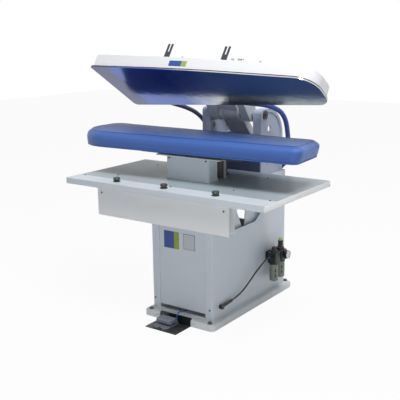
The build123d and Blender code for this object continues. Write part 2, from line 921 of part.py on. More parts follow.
# Left arm cast in one with the tail lever, which carries the bar of the return springs
lever_back = lever_face + lever_thickness
lever_mid = (lever_face + lever_back) / 2
with BuildPart() as tail_lever:
    with BuildSketch(head_side(arm_left_x)):
        with BuildLine():
            Polyline(*arm_outline(arm_left_x), close=True)
        make_face()
        Circle(arm_hub)
    extrude(amount=arm_width)
    with BuildSketch(casing_level(arm_left_x + arm_width / 2, (arm_foot_length - 2 * arm_reach) / 2)):
        Rectangle(arm_width, arm_foot_length)
    extrude(amount=arm_foot)
    with BuildSketch(head_side(arm_left_x + arm_width)):
        Circle(28)
    extrude(amount=collar_width)
    with BuildSketch(head_side(lever_left)):
        with BuildLine():
            Polyline(
                lever_point(lever_front, lever_face),
                lever_point(lever_shoulder, lever_face),
                lever_point(lever_shoulder, lever_back),
                lever_point(lever_front, lever_back),
                close=True,
            )
        make_face()
    extrude(amount=lever_right - lever_left)
    with BuildSketch(head_side(lever_x - lug_width / 2)):
        with BuildLine():
            Polyline(
                lever_point(lever_shoulder - 5, lever_face),
                lever_point(lever_end - lever_chamfer, lever_face),
                lever_point(lever_end, lever_mid),
                lever_point(lever_end - lever_chamfer, lever_back),
                lever_point(lever_shoulder - 5, lever_back),
                close=True,
            )
        make_face()
    extrude(amount=lug_width)
    with BuildSketch(head_side(arm_left_x)):
        Circle(shaft_radius + running_clearance)
    extrude(amount=lever_right - arm_left_x, mode=Mode.SUBTRACT)
    slot_middle = lever_point(lever_pin - slot_travel / 2, lever_mid - slot_shift)
    with BuildSketch(head_side(lever_x - lug_width / 2)):
        with Locations(Location(slot_middle, -lever_angle)):
            SlotCenterToCenter(slot_travel, 2 * (pin_radius + slot_clearance))
    extrude(amount=lug_width, mode=Mode.SUBTRACT)
    bar_place = lever_point(spring_bar_place, lever_mid)
    with BuildSketch(head_side(spring_places[0] - spring_bar_end)):
        with Locations(bar_place):
            Circle(spring_bar_radius)
    extrude(amount=spring_places[1] - spring_places[0] + 2 * spring_bar_end)
save(tail_lever, "tail_lever")

# Sole plate: the polished pressing face
with BuildPart() as sole_plate:
    extrude(plan_face(head_level(sole_w), head_plan, head_radii), amount=sole_thickness)
save(sole_plate, "sole_plate")

# Black seal between the sole and the casing
rim_inset = 2
with BuildPart() as rim_seal:
    extrude(plan_face(head_level(rim_w), head_plan, head_radii, rim_inset), amount=rim_thickness)
    extrude(
        plan_face(head_level(rim_w), head_plan, head_radii, rim_inset + rim_width),
        amount=rim_thickness,
        mode=Mode.SUBTRACT,
    )
save(rim_seal, "rim_seal")

# Steam chest of the head: a cast tray upside down on the sole, with posts up to the casing
head_chest_wall = 10
head_chest_roof = 8
with BuildPart() as head_chest:
    extrude(plan_face(head_level(rim_w), head_plan, head_radii, head_chest_inset), amount=head_chest_height)
    with BuildSketch(head_level(rim_w + head_chest_height)):
        for x in (arm_left_x + arm_width / 2, arm_right_x + arm_width / 2):
            with Locations((x, -arm_reach + 40), (x, -arm_reach + 130)):
                Rectangle(arm_width, 40)
    extrude(amount=casing_left_height)
    split(bisect_by=casing_level(0, 0, -casing_sheet), keep=Keep.BOTTOM)
    extrude(
        plan_face(head_level(rim_w), head_plan, head_radii, head_chest_inset + head_chest_wall),
        amount=head_chest_height - head_chest_roof,
        mode=Mode.SUBTRACT,
    )
save(head_chest, "head_chest")

# White casing of the head: a folded cover, open below
with BuildPart() as casing_core:
    inner_plan = plan_face(head_level(casing_w), head_plan, head_radii, casing_inset + casing_sheet)
    extrude(inner_plan, amount=casing_left_height)
    split(bisect_by=casing_level(0, 0, -casing_sheet), keep=Keep.BOTTOM)
with BuildPart() as head_casing:
    outer_plan = plan_face(head_level(casing_w), head_plan, head_radii, casing_inset)
    extrude(outer_plan, amount=casing_left_height)
    split(bisect_by=casing_level(0, 0), keep=Keep.BOTTOM)
    top_face = head_casing.faces().sort_by(Axis((0, 0, 0), (0, tilt_sin, tilt_cos)))[-1]
    fillet(top_face.edges(), radius=casing_edge)
    add(casing_core.part, mode=Mode.SUBTRACT)
save(head_casing, "head_casing")

def slope_between(start, end):
    return (end[1] - start[1]) / (end[0] - start[0])


front_left_slope = slope_between(head_plan[0], head_plan[1])
front_right_slope = slope_between(head_plan[1], head_plan[2])
back_slope = slope_between(head_plan[3], head_plan[4])


front_radius = head_radii[1] - casing_inset
front_corner_x, front_corner_v = inset_corners(head_plan, casing_inset)[1]
front_bend = front_radius * tan((atan2(front_right_slope, 1) - atan2(front_left_slope, 1)) / 2)


def casing_front_v(x):
    """Place of the casing's front face at a given x, in the head's own frame."""
    from_corner = x - front_corner_x
    if from_corner > front_bend:
        return front_corner_v + from_corner * front_right_slope
    into_bend = max(from_corner + front_bend, 0)
    return front_corner_v + from_corner * front_left_slope + into_bend**2 / (2 * front_radius)


def casing_front_slope(x):
    """Slope of the casing's front face at a given x, left of the end of its bend."""
    return front_left_slope + max(x - front_corner_x + front_bend, 0) / front_radius


def casing_back_v(x):
    """Place of the casing's back face at a given x, in the head's own frame."""
    run = casing_inset * (1 + back_slope**2) ** 0.5
    return head_plan[4][1] + (x - head_plan[4][0]) * back_slope - run


# Two slotted brackets that stand on the front of the casing
slot_bracket_places = [-135, 226]
slot_bracket_width = 34
slot_bracket_height = 84
slot_bracket_sheet = 5
slot_bracket_foot = 28
with BuildPart() as slotted_brackets:
    for x in slot_bracket_places:
        front_v = casing_front_v(x) + 13
        with BuildSketch(casing_level(x, front_v)):
            Rectangle(slot_bracket_width, slot_bracket_sheet)
        extrude(amount=slot_bracket_height)
        with BuildSketch(casing_level(x, front_v + slot_bracket_foot / 2)):
            Rectangle(slot_bracket_width, slot_bracket_foot)
        extrude(amount=slot_bracket_sheet)
        with BuildSketch(casing_level(x, front_v, slot_bracket_height - 48)):
            Rectangle(12, 2 * slot_bracket_sheet)
        extrude(amount=48, mode=Mode.SUBTRACT)
save(slotted_brackets, "slotted_brackets")

hose_start_w = -25
hose_port_length = 22
hose_starts = {"left": -400, "right": 150}


def port_plane(x, reach):
    """Plane square to the back of the casing, at a distance out from it."""
    face = Plane(
        origin=head_point(x, casing_back_v(x), hose_start_w),
        x_dir=(1, back_slope * tilt_cos, -back_slope * tilt_sin),
        z_dir=(-back_slope, tilt_cos, -tilt_sin),
    )
    return face.offset(reach)


# Fittings of the head: three plugs and a bail along the front, and the hose ports behind
bail_x = 322
bail_reach = 13
with BuildPart() as head_fittings:
    for x, size, height in ((-30, 7, 9), (277, 9, 14), (438, 8, 9)):
        with BuildSketch(casing_level(x, casing_front_v(x) + 15)):
            RegularPolygon(size, 6)
        extrude(amount=height)
    bail_v = casing_front_v(bail_x) + 15
    with BuildSketch(casing_level(bail_x, bail_v)):
        with Locations((-bail_reach, 0), (bail_reach, 0)):
            Circle(4)
    extrude(amount=12)
    with BuildSketch(casing_level(bail_x, bail_v, 12)):
        Rectangle(2 * bail_reach + 8, 8)
    extrude(amount=5)
    for x in hose_starts.values():
        with BuildSketch(port_plane(x, 0)):
            RegularPolygon(hose_radius + 4, 6)
        extrude(amount=hose_port_length)
save(head_fittings, "head_fittings")

# Blank plate on the front of the casing
casing_plate_x = -35
casing_plate_w = -28
with BuildPart() as casing_plate:
    plate_slope = casing_front_slope(casing_plate_x)
    plate_plane = Plane(
        origin=head_point(casing_plate_x, casing_front_v(casing_plate_x), casing_plate_w),
        x_dir=(1, plate_slope * tilt_cos, -plate_slope * tilt_sin),
        z_dir=(plate_slope, -tilt_cos, tilt_sin),
    )
    with BuildSketch(plate_plane):
        RectangleRounded(112, 32, 3)
    extrude(amount=1)
save(casing_plate, "casing_plate")


# Closing cylinder: the beam between the cheeks carries its lower pin and the spring hooks
with BuildPart() as cylinder_beam:
    with BuildSketch(level(beam_bottom)):
        with Locations((0, cheek_back - beam_depth / 2)):
            Rectangle(2 * cheek_inner, beam_depth)
    extrude(amount=beam_height)
    for side in (-1, 1):
        with BuildSketch(facing_right(lever_x + side * (lug_width / 2 + 1))):
            with Locations((cylinder_pin_y, (beam_bottom + beam_height + cylinder_pin_z) / 2)):
                Rectangle(34, cylinder_pin_z - beam_bottom - beam_height)
            with Locations((cylinder_pin_y, cylinder_pin_z)):
                Circle(17)
        extrude(amount=side * fork_wall)
    with BuildSketch(facing_right(lever_x)):
        with Locations((cylinder_pin_y, cylinder_pin_z)):
            Circle(pin_radius)
    extrude(amount=lug_width / 2 + fork_wall + 4, both=True)
    with BuildSketch(level(beam_bottom + beam_height)):
        for x in spring_places:
            with Locations((x, cheek_back - beam_depth + 12)):
                Rectangle(8, 16)
    extrude(amount=spring_lug)
save(cylinder_beam, "cylinder_beam")

pin_v, pin_w = lever_point(lever_pin, lever_mid)
rod_pin = head_point(lever_x, pin_v, pin_w)
cylinder_foot = Vector(lever_x, cylinder_pin_y, cylinder_pin_z)
rod_reach = (rod_pin - cylinder_foot).length
rod_axis = (rod_pin - cylinder_foot).normalized()


def along_cylinder(distance):
    """Plane square to the cylinder at a distance from its lower pin."""
    return Plane(origin=cylinder_foot + rod_axis * distance, x_dir=(1, 0, 0), z_dir=tuple(rod_axis))


cylinder_side = Plane(
    origin=cylinder_foot, x_dir=(0, rod_axis.Z, -rod_axis.Y), z_dir=(1, 0, 0)
)
eye_radius = 16
base_bottom = 24
barrel_bottom = base_bottom + cap_thickness
barrel_top = barrel_bottom + barrel_length
tie_places = [(x, y) for x in (-tie_rod_place, tie_rod_place) for y in (-tie_rod_place, tie_rod_place)]

with BuildPart() as cylinder_caps:
    with BuildSketch(along_cylinder(base_bottom)):
        RectangleRounded(cylinder_cap, cylinder_cap, 8)
    extrude(amount=cap_thickness)
    with BuildSketch(cylinder_side):
        Circle(eye_radius)
        with Locations((0, base_bottom / 2)):
            Rectangle(2 * eye_radius, base_bottom)
    extrude(amount=lug_width / 2, both=True)
    with BuildSketch(cylinder_side):
        Circle(pin_radius + running_clearance)
    extrude(amount=lug_width, both=True, mode=Mode.SUBTRACT)
    with BuildSketch(along_cylinder(barrel_top)):
        RectangleRounded(cylinder_cap, cylinder_cap, 8)
        Circle(rod_radius + running_clearance, mode=Mode.SUBTRACT)
    extrude(amount=cap_thickness)
save(cylinder_caps, "cylinder_caps")

with BuildPart() as cylinder_barrel:
    with BuildSketch(along_cylinder(barrel_bottom)):
        Circle(barrel_radius)
        Circle(barrel_radius - barrel_wall, mode=Mode.SUBTRACT)
    extrude(amount=barrel_length)
save(cylinder_barrel, "cylinder_barrel")

with BuildPart() as tie_rods:
    with BuildSketch(along_cylinder(barrel_bottom)):
        with Locations(*tie_places):
            Circle(tie_rod_radius)
    extrude(amount=barrel_length)
save(tie_rods, "tie_rods")

# Piston, rod and the fork on its end, with its pin through the slot of the tail lever
with BuildPart() as piston_rod:
    with BuildSketch(along_cylinder(barrel_bottom + 8)):
        Circle(barrel_radius - barrel_wall - running_clearance)
    extrude(amount=piston_thickness)
    with BuildSketch(along_cylinder(barrel_bottom + 8)):
        Circle(rod_radius)
    extrude(amount=rod_reach - barrel_bottom - 8 - 50)
    with BuildSketch(along_cylinder(rod_reach - 50)):
        RectangleRounded(lug_width + 2 + 2 * fork_wall, fork_depth, 3)
    extrude(amount=16)
    for side in (-1, 1):
        fork_plane = Plane(
            origin=rod_pin + Vector(side * (lug_width / 2 + 1), 0, 0),
            x_dir=(0, rod_axis.Z, -rod_axis.Y),
            z_dir=(1, 0, 0),
        )
        with BuildSketch(fork_plane):
            Circle(fork_depth / 2)
            with Locations((0, -21)):
                Rectangle(fork_depth, 42)
        extrude(amount=side * fork_wall)
    with BuildSketch(Plane(origin=rod_pin, x_dir=(0, 1, 0), z_dir=(1, 0, 0))):
        Circle(pin_radius)
    extrude(amount=lug_width / 2 + 1 + fork_wall + 3, both=True)
save(piston_rod, "piston_rod")


# Return springs: close-wound tension springs from the bar on the lever to the beam
spring_top = head_point(0, bar_place[0], bar_place[1])
spring_foot_z = beam_bottom + beam_height + spring_lug + running_gap
spring_foot = Vector(0, cheek_back - beam_depth + 12, spring_foot_z)
spring_axis = (spring_top - spring_foot).normalized()
spring_span = (spring_top - spring_foot).length
spring_coil_start = 34
spring_coil_end = spring_span - 34 - spring_bar_radius
spring_pitch = (spring_coil_end - spring_coil_start) / spring_turns


def spring_path(x):
    """Coil with straight shanks that run out along the spring's middle line."""
    frame = Plane(origin=Vector(x, 0, 0) + spring_foot, x_dir=(1, 0, 0), z_dir=tuple(spring_axis))
    coil = Helix(spring_pitch, spring_coil_end - spring_coil_start, spring_radius)
    return frame, coil


with BuildPart() as return_springs:
    for x in spring_places:
        frame, coil = spring_path(x)
        coil = frame.offset(spring_coil_start).location * coil
        start_plane = Plane(origin=coil @ 0, z_dir=coil % 0)
        with BuildSketch(start_plane):
            Circle(spring_wire)
        sweep(path=coil, is_frenet=True)
        spring_tip = spring_span - spring_bar_radius - running_gap
        for low, high in ((0, spring_coil_start), (spring_coil_end, spring_tip)):
            with BuildSketch(frame.offset(low)):
                Circle(spring_wire)
            extrude(amount=high - low)
        for height in (spring_coil_start, spring_coil_end):
            with BuildSketch(frame.offset(height - spring_wire)):
                Rectangle(2 * spring_radius, 2 * spring_wire)
            extrude(amount=2 * spring_wire)
save(return_springs, "return_springs")


# Steam manifold at the back of the cheeks, with two ports up and one to the back
manifold_y = cheek_back + manifold_radius + running_gap
with BuildPart() as steam_manifold:
    with BuildSketch(facing_right(0)):
        with Locations((manifold_y, manifold_z)):
            Circle(manifold_radius)
    extrude(amount=manifold_half, both=True)
    with BuildSketch(level(manifold_z)):
        with Locations((-port_x, manifold_y), (port_x, manifold_y)):
            Circle(hose_radius - 2)
    extrude(amount=manifold_radius + port_height)
    with BuildSketch(facing_front(manifold_y)):
        with Locations((0, manifold_z)):
            RegularPolygon(18, 6)
    extrude(amount=-manifold_radius - 24)
    with BuildSketch(facing_front(manifold_y + manifold_radius + 24)):
        with Locations((0, manifold_z)):
            Circle(10.5)
    extrude(amount=20, mode=Mode.SUBTRACT)
    with BuildSketch(facing_front(cheek_back)):
        for x in (-1, 1):
            with Locations((x * (cheek_inner - 16), manifold_z)):
                Rectangle(22, 44)
    extrude(amount=-manifold_radius)
save(steam_manifold, "steam_manifold")


def hose(points, radius):
    """Hose along straight runs joined by the largest arcs that its runs allow."""
    route = [Vector(*point) for point in points]
    radii = []
    for before, here, after in zip(route, route[1:], route[2:]):
        turn = radians((here - before).get_angle(after - here))
        radii.append(0.45 * min((here - before).length, (after - here).length) / tan(turn / 2))
    with BuildPart() as pipe:
        with BuildLine() as line:
            FilletPolyline(*route, radius=radii)
        path = line.wire()
        with BuildSketch(Plane(origin=path @ 0, z_dir=path % 0)):
            Circle(radius)
        sweep(path=path)
    return pipe


def hose_exit(side, reach):
    return tuple(port_plane(hose_starts[side], reach).origin)


# Insulated steam hose from the right of the head, over the right cheek and down
steam_hose_route = [
    hose_exit("right", hose_port_length),
    hose_exit("right", hose_port_length + 46),
    (196, 20, 1200),
    (250, 72, 1190),
    (283, 128, 1170),
    (299, 184, 1138),
    (304, 226, 1084),
    (301, 252, 1012),
    (298, 272, 930),
    (280, 312, 866),
    (238, 368, 824),
    (176, 406, 782),
    (port_x + 22, manifold_y + 12, 700),
    (port_x, manifold_y, 636),
    (port_x, manifold_y, manifold_z + manifold_radius + port_height),
]
save(hose(steam_hose_route, hose_radius), "steam_hose")

# Return hose from the left of the head, behind the left cheek and down
return_hose_route = [
    hose_exit("left", hose_port_length),
    hose_exit("left", hose_port_length + 46),
    (-376, 78, 1162),
    (-336, 124, 1142),
    (-292, 168, 1110),
    (-262, 208, 1058),
    (-252, 244, 992),
    (-254, 282, 916),
    (-252, 328, 856),
    (-222, 376, 810),
    (-170, 398, 770),
    (-port_x - 20, manifold_y + 12, 700),
    (-port_x, manifold_y, 636),
    (-port_x, manifold_y, manifold_z + manifold_radius + port_height),
]
save(hose(return_hose_route, hose_radius - 1), "return_hose")


# Air service unit: bracket, lubricator, filter with regulator, gauge and knob
filter_y = lubricator_y + unit_pitch
unit_body_top = unit_body_bottom + unit_body_height
body_half = unit_body / 2
with BuildPart() as unit_bracket:
    with BuildSketch(level(unit_body_bottom + 14)):
        with Locations(((half + unit_x - body_half) / 2, (lubricator_y + filter_y) / 2)):
            Rectangle(unit_x - body_half - half - 2 * running_clearance, 60)
    extrude(amount=32)
    with BuildSketch(facing_right(half)):
        with Locations(((lubricator_y + filter_y) / 2, unit_body_bottom + 30)):
            RectangleRounded(96, 56, 4)
    extrude(amount=4)
save(unit_bracket, "unit_bracket")


inlet_radius = 6.6
inlet_depth = 14
with BuildPart() as unit_bodies:
    with BuildSketch(level(unit_body_bottom)):
        with Locations((unit_x, lubricator_y)):
            RectangleRounded(unit_body, unit_body, 8)
    extrude(amount=unit_body_height)
    with BuildSketch(level(unit_body_top)):
        with Locations((unit_x, lubricator_y)):
            Circle(body_half - 8)
    extrude(amount=12)
    with BuildSketch(level(unit_body_top + 12)):
        with Locations((unit_x, lubricator_y)):
            Circle(14)
    extrude(amount=24)
    fillet(unit_bodies.edges().filter_by(GeomType.CIRCLE).sort_by(Axis.Z)[-1], radius=9)
    with BuildSketch(facing_front(lubricator_y - body_half)):
        with Locations((unit_x - 4, unit_body_bottom + 41)):
            Circle(10)
    extrude(amount=16)
    with BuildSketch(facing_front(lubricator_y + body_half)):
        with Locations((unit_x, unit_body_bottom + 31)):
            Rectangle(34, 34)
    extrude(amount=-(unit_pitch - unit_body))
    with BuildSketch(level(unit_body_bottom)):
        with Locations((unit_x, filter_y)):
            RectangleRounded(unit_body, unit_body, 8)
    extrude(amount=unit_body_height)
    with BuildSketch(level(unit_body_top)):
        with Locations((unit_x, filter_y)):
            Circle(body_half - 6)
    extrude(amount=14)
    with BuildSketch(facing_right(unit_x + body_half)):
        with Locations((filter_y, unit_body_bottom + 36)):
            Circle(9)
    extrude(amount=6)
    with BuildSketch(facing_front(filter_y + body_half)):
        with Locations((unit_x, unit_body_bottom + 31)):
            Circle(14)
    extrude(amount=-8)
    with BuildSketch(facing_front(filter_y + body_half + 8)):
        with Locations((unit_x, unit_body_bottom + 31)):
            Circle(inlet_radius)
    extrude(amount=inlet_depth, mode=Mode.SUBTRACT)
save(unit_bodies, "unit_bodies")

# Regulator knob, which turns on top of the filter and regulator
knob_bottom = unit_body_top + 14 + running_gap
with BuildPart() as regulator_knob:
    with BuildSketch(level(knob_bottom)):
        with Locations((unit_x, filter_y)):
            Circle(knob_radius)
            with PolarLocations(knob_radius + 0.6, 20):
                Circle(1.6, mode=Mode.SUBTRACT)
    extrude(amount=knob_height)
    with BuildSketch(level(knob_bottom + knob_height)):
        with Locations((unit_x, filter_y)):
            Circle(10)
    extrude(amount=12)
save(regulator_knob, "regulator_knob")


# Bowls in their slotted guards
with BuildPart() as unit_bowls:
    for y, height in ((lubricator_y, bowl_height), (filter_y, bowl_height - 4)):
        with BuildSketch(level(unit_body_bottom)):
            with Locations((unit_x, y)):
                Circle(bowl_radius)
        extrude(amount=-height)
        with BuildSketch(level(unit_body_bottom - 22)):
            with Locations((unit_x, y)):
                with PolarLocations(bowl_radius, 6, start_angle=15):
                    Rectangle(5, 7)
        extrude(amount=-height + 44, mode=Mode.SUBTRACT)
        with BuildSketch(level(unit_body_bottom - height)):
            with Locations((unit_x, y)):
                Circle(bowl_radius - 3)
        extrude(amount=-3)
        with BuildSketch(level(unit_body_bottom - height - 3)):
            with Locations((unit_x, y)):
                Circle(8)
        extrude(amount=-8)
save(unit_bowls, "unit_bowls")

# Pressure gauge on the right of the regulator
gauge_x = unit_x + body_half + 6
with BuildPart() as pressure_gauge:
    with BuildSketch(facing_right(gauge_x)):
        with Locations((filter_y, unit_body_bottom + 36)):
            Circle(gauge_radius)
    extrude(amount=20)
    fillet(pressure_gauge.edges().filter_by(GeomType.CIRCLE).sort_by(Axis.X)[0], radius=4)
    with BuildSketch(facing_right(gauge_x + 20)):
        with Locations((filter_y, unit_body_bottom + 36)):
            Circle(gauge_radius - 3)
    extrude(amount=-2, mode=Mode.SUBTRACT)
save(pressure_gauge, "pressure_gauge")

# Air hose along the side, its sleeve and the gland in the panel
gland_y = -326
gland_z = 106
gland_x = half + 11
sleeve_start = Vector(gland_x + 5, -234, 116)
sleeve_end = Vector(gland_x, gland_y + 12, gland_z)
air_hose_radius = 4.6
sleeve_way = (sleeve_end - sleeve_start).normalized()
air_hose_route = [
    (unit_x - 4, lubricator_y - body_half - 16, unit_body_bottom + 41),
    (unit_x - 4, 98, unit_body_bottom + 41),
    (250, 54, 254),
    (241, 2, 220),
    (236, -50, 185),
    (232, -100, 154),
    (229, -148, 133),
    tuple(sleeve_start - sleeve_way * 44),
    tuple(sleeve_start),
]
save(hose(air_hose_route, air_hose_radius), "air_hose")

with BuildPart() as hose_sleeve:
    with BuildSketch(Plane(origin=sleeve_start, z_dir=tuple(sleeve_way))):
        Circle(8.5)
    extrude(amount=(sleeve_end - sleeve_start).length - 1.2)
    with BuildSketch(facing_right(half)):
        with Locations((gland_y, gland_z)):
            RectangleRounded(24, 24, 5)
    extrude(amount=21)
save(hose_sleeve, "hose_sleeve")


# Foot pedal: bent floor plate, cast base, sprung treadle on its pin and the air tube
pedal_left = pedal_middle - pedal_width / 2
plinth_face = -plinth_depth / 2
with BuildPart() as pedal_plate:
    with BuildSketch(Plane.XY):
        with Locations((pedal_middle, (pedal_front + plinth_face) / 2)):
            Rectangle(pedal_width, plinth_face - pedal_front - 2 * running_gap)
    extrude(amount=pedal_sheet)
    with BuildSketch(facing_front(plinth_face - running_gap)):
        with BuildLine():
            Polyline(
                (pedal_left, 0),
                (pedal_left + pedal_width, 0),
                (pedal_left + pedal_width, 44),
                (pedal_left + pedal_width + 10, 44),
                (pedal_left + pedal_width + 10, pedal_back_height),
                (pedal_left + 10, pedal_back_height),
                (pedal_left, pedal_back_height - 10),
                close=True,
            )
        make_face()
    extrude(amount=pedal_sheet)
save(pedal_plate, "pedal_plate")

hinge_y = -486
hinge_z = 26
treadle_x = -30
pedal_pin = 4
lobe_radius = 25
lobe_y = -554
tube_x = 14
pedal_base_height = 11
with BuildPart() as pedal_base:
    with BuildSketch(level(pedal_sheet)):
        with Locations((treadle_x, -520)):
            Rectangle(4 * lobe_radius, 84)
        with Locations((treadle_x - lobe_radius, lobe_y), (treadle_x + lobe_radius, lobe_y)):
            Circle(lobe_radius)
        with Locations((tube_x, -471)):
            Rectangle(14, 18)
    extrude(amount=pedal_base_height)
    for side in (-1, 1):
        with BuildSketch(facing_right(treadle_x + side * (treadle_width / 2 + 0.6))):
            with Locations((hinge_y, hinge_z - 8)):
                Rectangle(18, 16)
            with Locations((hinge_y, hinge_z)):
                Circle(9)
        extrude(amount=side * 7)
    with BuildSketch(facing_right(treadle_x)):
        with Locations((hinge_y, hinge_z)):
            Circle(pedal_pin)
    extrude(amount=treadle_width / 2 + 9, both=True)
save(pedal_base, "pedal_base")

with BuildPart() as treadle:
    with BuildSketch(facing_right(treadle_x)):
        with BuildLine():
            Polyline(
                (hinge_y - 9, hinge_z),
                (hinge_y - treadle_depth, 24),
                (hinge_y - treadle_depth, treadle_top - 6),
                (hinge_y - treadle_depth + 6, treadle_top - 2),
                (hinge_y + 6, treadle_top),
                (hinge_y + 9, treadle_top - 4),
                (hinge_y + 9, hinge_z),
                close=True,
            )
        make_face()
        with Locations((hinge_y, hinge_z)):
            Circle(9)
            Circle(pedal_pin + running_clearance, mode=Mode.SUBTRACT)
    extrude(amount=treadle_width / 2, both=True)
save(treadle, "treadle")

pedal_tube_route = [
    (tube_x, -470, pedal_sheet + pedal_base_height),
    (tube_x, -470, 34),
    (13, -468, 58),
    (12, -452, 70),
    (11, -428, 68),
    (10, -404, 60),
    (10, -376, 56),
]
save(hose(pedal_tube_route, 3.6), "pedal_tube")
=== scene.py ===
from math import atan2, cos, radians, sin, tan, tau

import bpy
from mathutils import Matrix, Vector, noise


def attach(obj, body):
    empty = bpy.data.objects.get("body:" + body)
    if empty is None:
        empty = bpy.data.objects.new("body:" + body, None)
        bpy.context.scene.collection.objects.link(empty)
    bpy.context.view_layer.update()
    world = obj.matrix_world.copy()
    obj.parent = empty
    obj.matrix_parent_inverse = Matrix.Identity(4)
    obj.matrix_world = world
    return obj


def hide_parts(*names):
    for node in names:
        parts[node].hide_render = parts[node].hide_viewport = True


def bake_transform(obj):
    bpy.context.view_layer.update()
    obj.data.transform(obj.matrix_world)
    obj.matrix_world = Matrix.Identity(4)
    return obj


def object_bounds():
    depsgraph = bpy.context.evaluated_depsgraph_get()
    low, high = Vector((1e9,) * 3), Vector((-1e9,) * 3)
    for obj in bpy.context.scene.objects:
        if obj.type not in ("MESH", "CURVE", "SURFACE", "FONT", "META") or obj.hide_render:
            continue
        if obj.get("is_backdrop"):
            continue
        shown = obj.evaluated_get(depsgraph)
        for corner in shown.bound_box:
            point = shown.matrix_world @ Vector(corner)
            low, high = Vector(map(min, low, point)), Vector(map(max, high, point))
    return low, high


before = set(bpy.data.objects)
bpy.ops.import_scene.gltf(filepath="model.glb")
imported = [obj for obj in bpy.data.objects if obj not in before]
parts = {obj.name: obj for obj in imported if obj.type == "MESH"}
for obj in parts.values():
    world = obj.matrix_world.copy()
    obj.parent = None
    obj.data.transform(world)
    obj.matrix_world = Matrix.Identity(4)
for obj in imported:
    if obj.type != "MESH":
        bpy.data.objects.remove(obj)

bpy.ops.object.select_all(action="DESELECT")
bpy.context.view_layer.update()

# The view: the press stands on a studio floor and is seen from its front right corner, from
# a little above the raised head, with a short telephoto lens and a square picture.
turn = radians(35.5393)
dip = radians(13.1357)
roll = radians(-0.7287)
ahead = Vector((-sin(turn) * cos(dip), cos(turn) * cos(dip), -sin(dip)))
level_right = Vector((cos(turn), sin(turn), 0))
level_up = level_right.cross(ahead)
seen_right = level_right * cos(roll) + level_up * sin(roll)
seen_up = level_up * cos(roll) - level_right * sin(roll)
camera = bpy.data.objects.new("view", bpy.data.cameras.new("view"))
bpy.context.collection.objects.link(camera)
camera.matrix_world = Matrix.Translation((2.3304, -3.4776, 1.6014)) @ Matrix(
    (seen_right, seen_up, -ahead)
).transposed().to_4x4()
camera.data.lens = 65.386
camera.data.sensor_width = 36
camera.data.clip_end = 60
bpy.context.scene.camera = camera


# Steam hoses: rubber hoses in a woven jacket. The thick one brings steam from the manifold
# to the head and the thin one drains it. Both are crimped into steel ferrules and flex each
# time that the head opens and shuts.
def laid_line(points):
    """Smooth line through the air from a hose's few set points."""
    curve = bpy.data.curves.new("line", "CURVE")
    curve.dimensions = "3D"
    curve.resolution_u = 14
    spline = curve.splines.new("NURBS")
    spline.points.add(len(points) - 1)
    for set_point, place in zip(spline.points, points):
        set_point.co = (*place, 1)
    spline.order_u = 3
    spline.use_endpoint_u = True
    carrier = bpy.data.objects.new("line", curve)
    bpy.context.collection.objects.link(carrier)
    bpy.context.view_layer.update()
    drawn = bpy.data.meshes.new_from_object(carrier)
    line = [vertex.co.copy() for vertex in drawn.vertices]
    bpy.data.objects.remove(carrier)
    return line


def from_corners(name, corners, faces, edges=()):
    """New piece made of its corners and faces."""
    mesh = bpy.data.meshes.new(name)
    mesh.from_pydata(corners, edges, faces)
    piece = bpy.data.objects.new(name, mesh)
    bpy.context.collection.objects.link(piece)
    return piece


def tube_on(name, line, radius, sides=20, closed=False):
    """Tube along a line, with a map of its own: turns round it, and metres along it."""
    count = len(line)
    ahead_of = []
    for i in range(count):
        behind = line[i - 1 if closed or i else 0]
        before = line[(i + 1) % count if closed else min(i + 1, count - 1)]
        ahead_of.append((before - behind).normalized())
    side = ahead_of[0].orthogonal().normalized()
    corners, runs, run = [], [], 0.0
    for i, place in enumerate(line):
        side = (side - ahead_of[i] * side.dot(ahead_of[i])).normalized()
        across = ahead_of[i].cross(side)
        run += (place - line[i - 1]).length if i else 0
        runs.append(run)
        for k in range(sides):
            corners.append(place + radius * (side * cos(tau * k / sides) + across * sin(tau * k / sides)))
    faces, marks = [], []
    for i in range(count if closed else count - 1):
        after = (i + 1) % count
        for k in range(sides):
            beside = (k + 1) % sides
            faces.append((i * sides + k, i * sides + beside, after * sides + beside, after * sides + k))
            high = runs[after] if after else run
            marks += [(k / sides, runs[i]), ((k + 1) / sides, runs[i]), ((k + 1) / sides, high), (k / sides, high)]
    if not closed:
        faces += [tuple(reversed(range(sides))), tuple((count - 1) * sides + k for k in range(sides))]
        marks += [(0, 0)] * sides + [(0, run)] * sides
    piece = from_corners(name, corners, faces)
    map_layer = piece.data.uv_layers.new(name="UVMap")
    for corner, mark in zip(map_layer.data, marks):
        corner.uv = mark
    piece.data.shade_smooth()
    return piece


def pick_only(piece):
    """One piece selected and active, and nothing else."""
    bpy.ops.object.select_all(action="DESELECT")
    piece.select_set(True)
    bpy.context.view_layer.objects.active = piece


def edit_all():
    """The active piece opened in edit mode, with all of it selected."""
    bpy.ops.object.mode_set(mode="EDIT")
    bpy.ops.mesh.select_all(action="SELECT")


def close_outwards():
    """All faces turned outwards, and edit mode left."""
    bpy.ops.mesh.select_all(action="SELECT")
    bpy.ops.mesh.normals_make_consistent(inside=False)
    bpy.ops.object.mode_set(mode="OBJECT")


def turned(name, outline, place, way=(0, 0, 1), steps=40, smooth=35):
    """Piece spun from half of its outline, radius and height, and stood at a place."""
    runs = [(i, i + 1) for i in range(len(outline) - 1)]
    piece = from_corners(name, [(r, 0, h) for r, h in outline], [], runs)
    pick_only(piece)
    edit_all()
    bpy.ops.mesh.spin(steps=steps, angle=tau, center=(0, 0, 0), axis=(0, 0, 1))
    bpy.ops.mesh.select_all(action="SELECT")
    bpy.ops.mesh.remove_doubles(threshold=0.000001)
    close_outwards()
    piece.data.transform(Matrix.Translation(place) @ Vector(way).to_track_quat("Z", "Y").to_matrix().to_4x4())
    bpy.ops.object.shade_smooth_by_angle(angle=radians(smooth))
    return piece


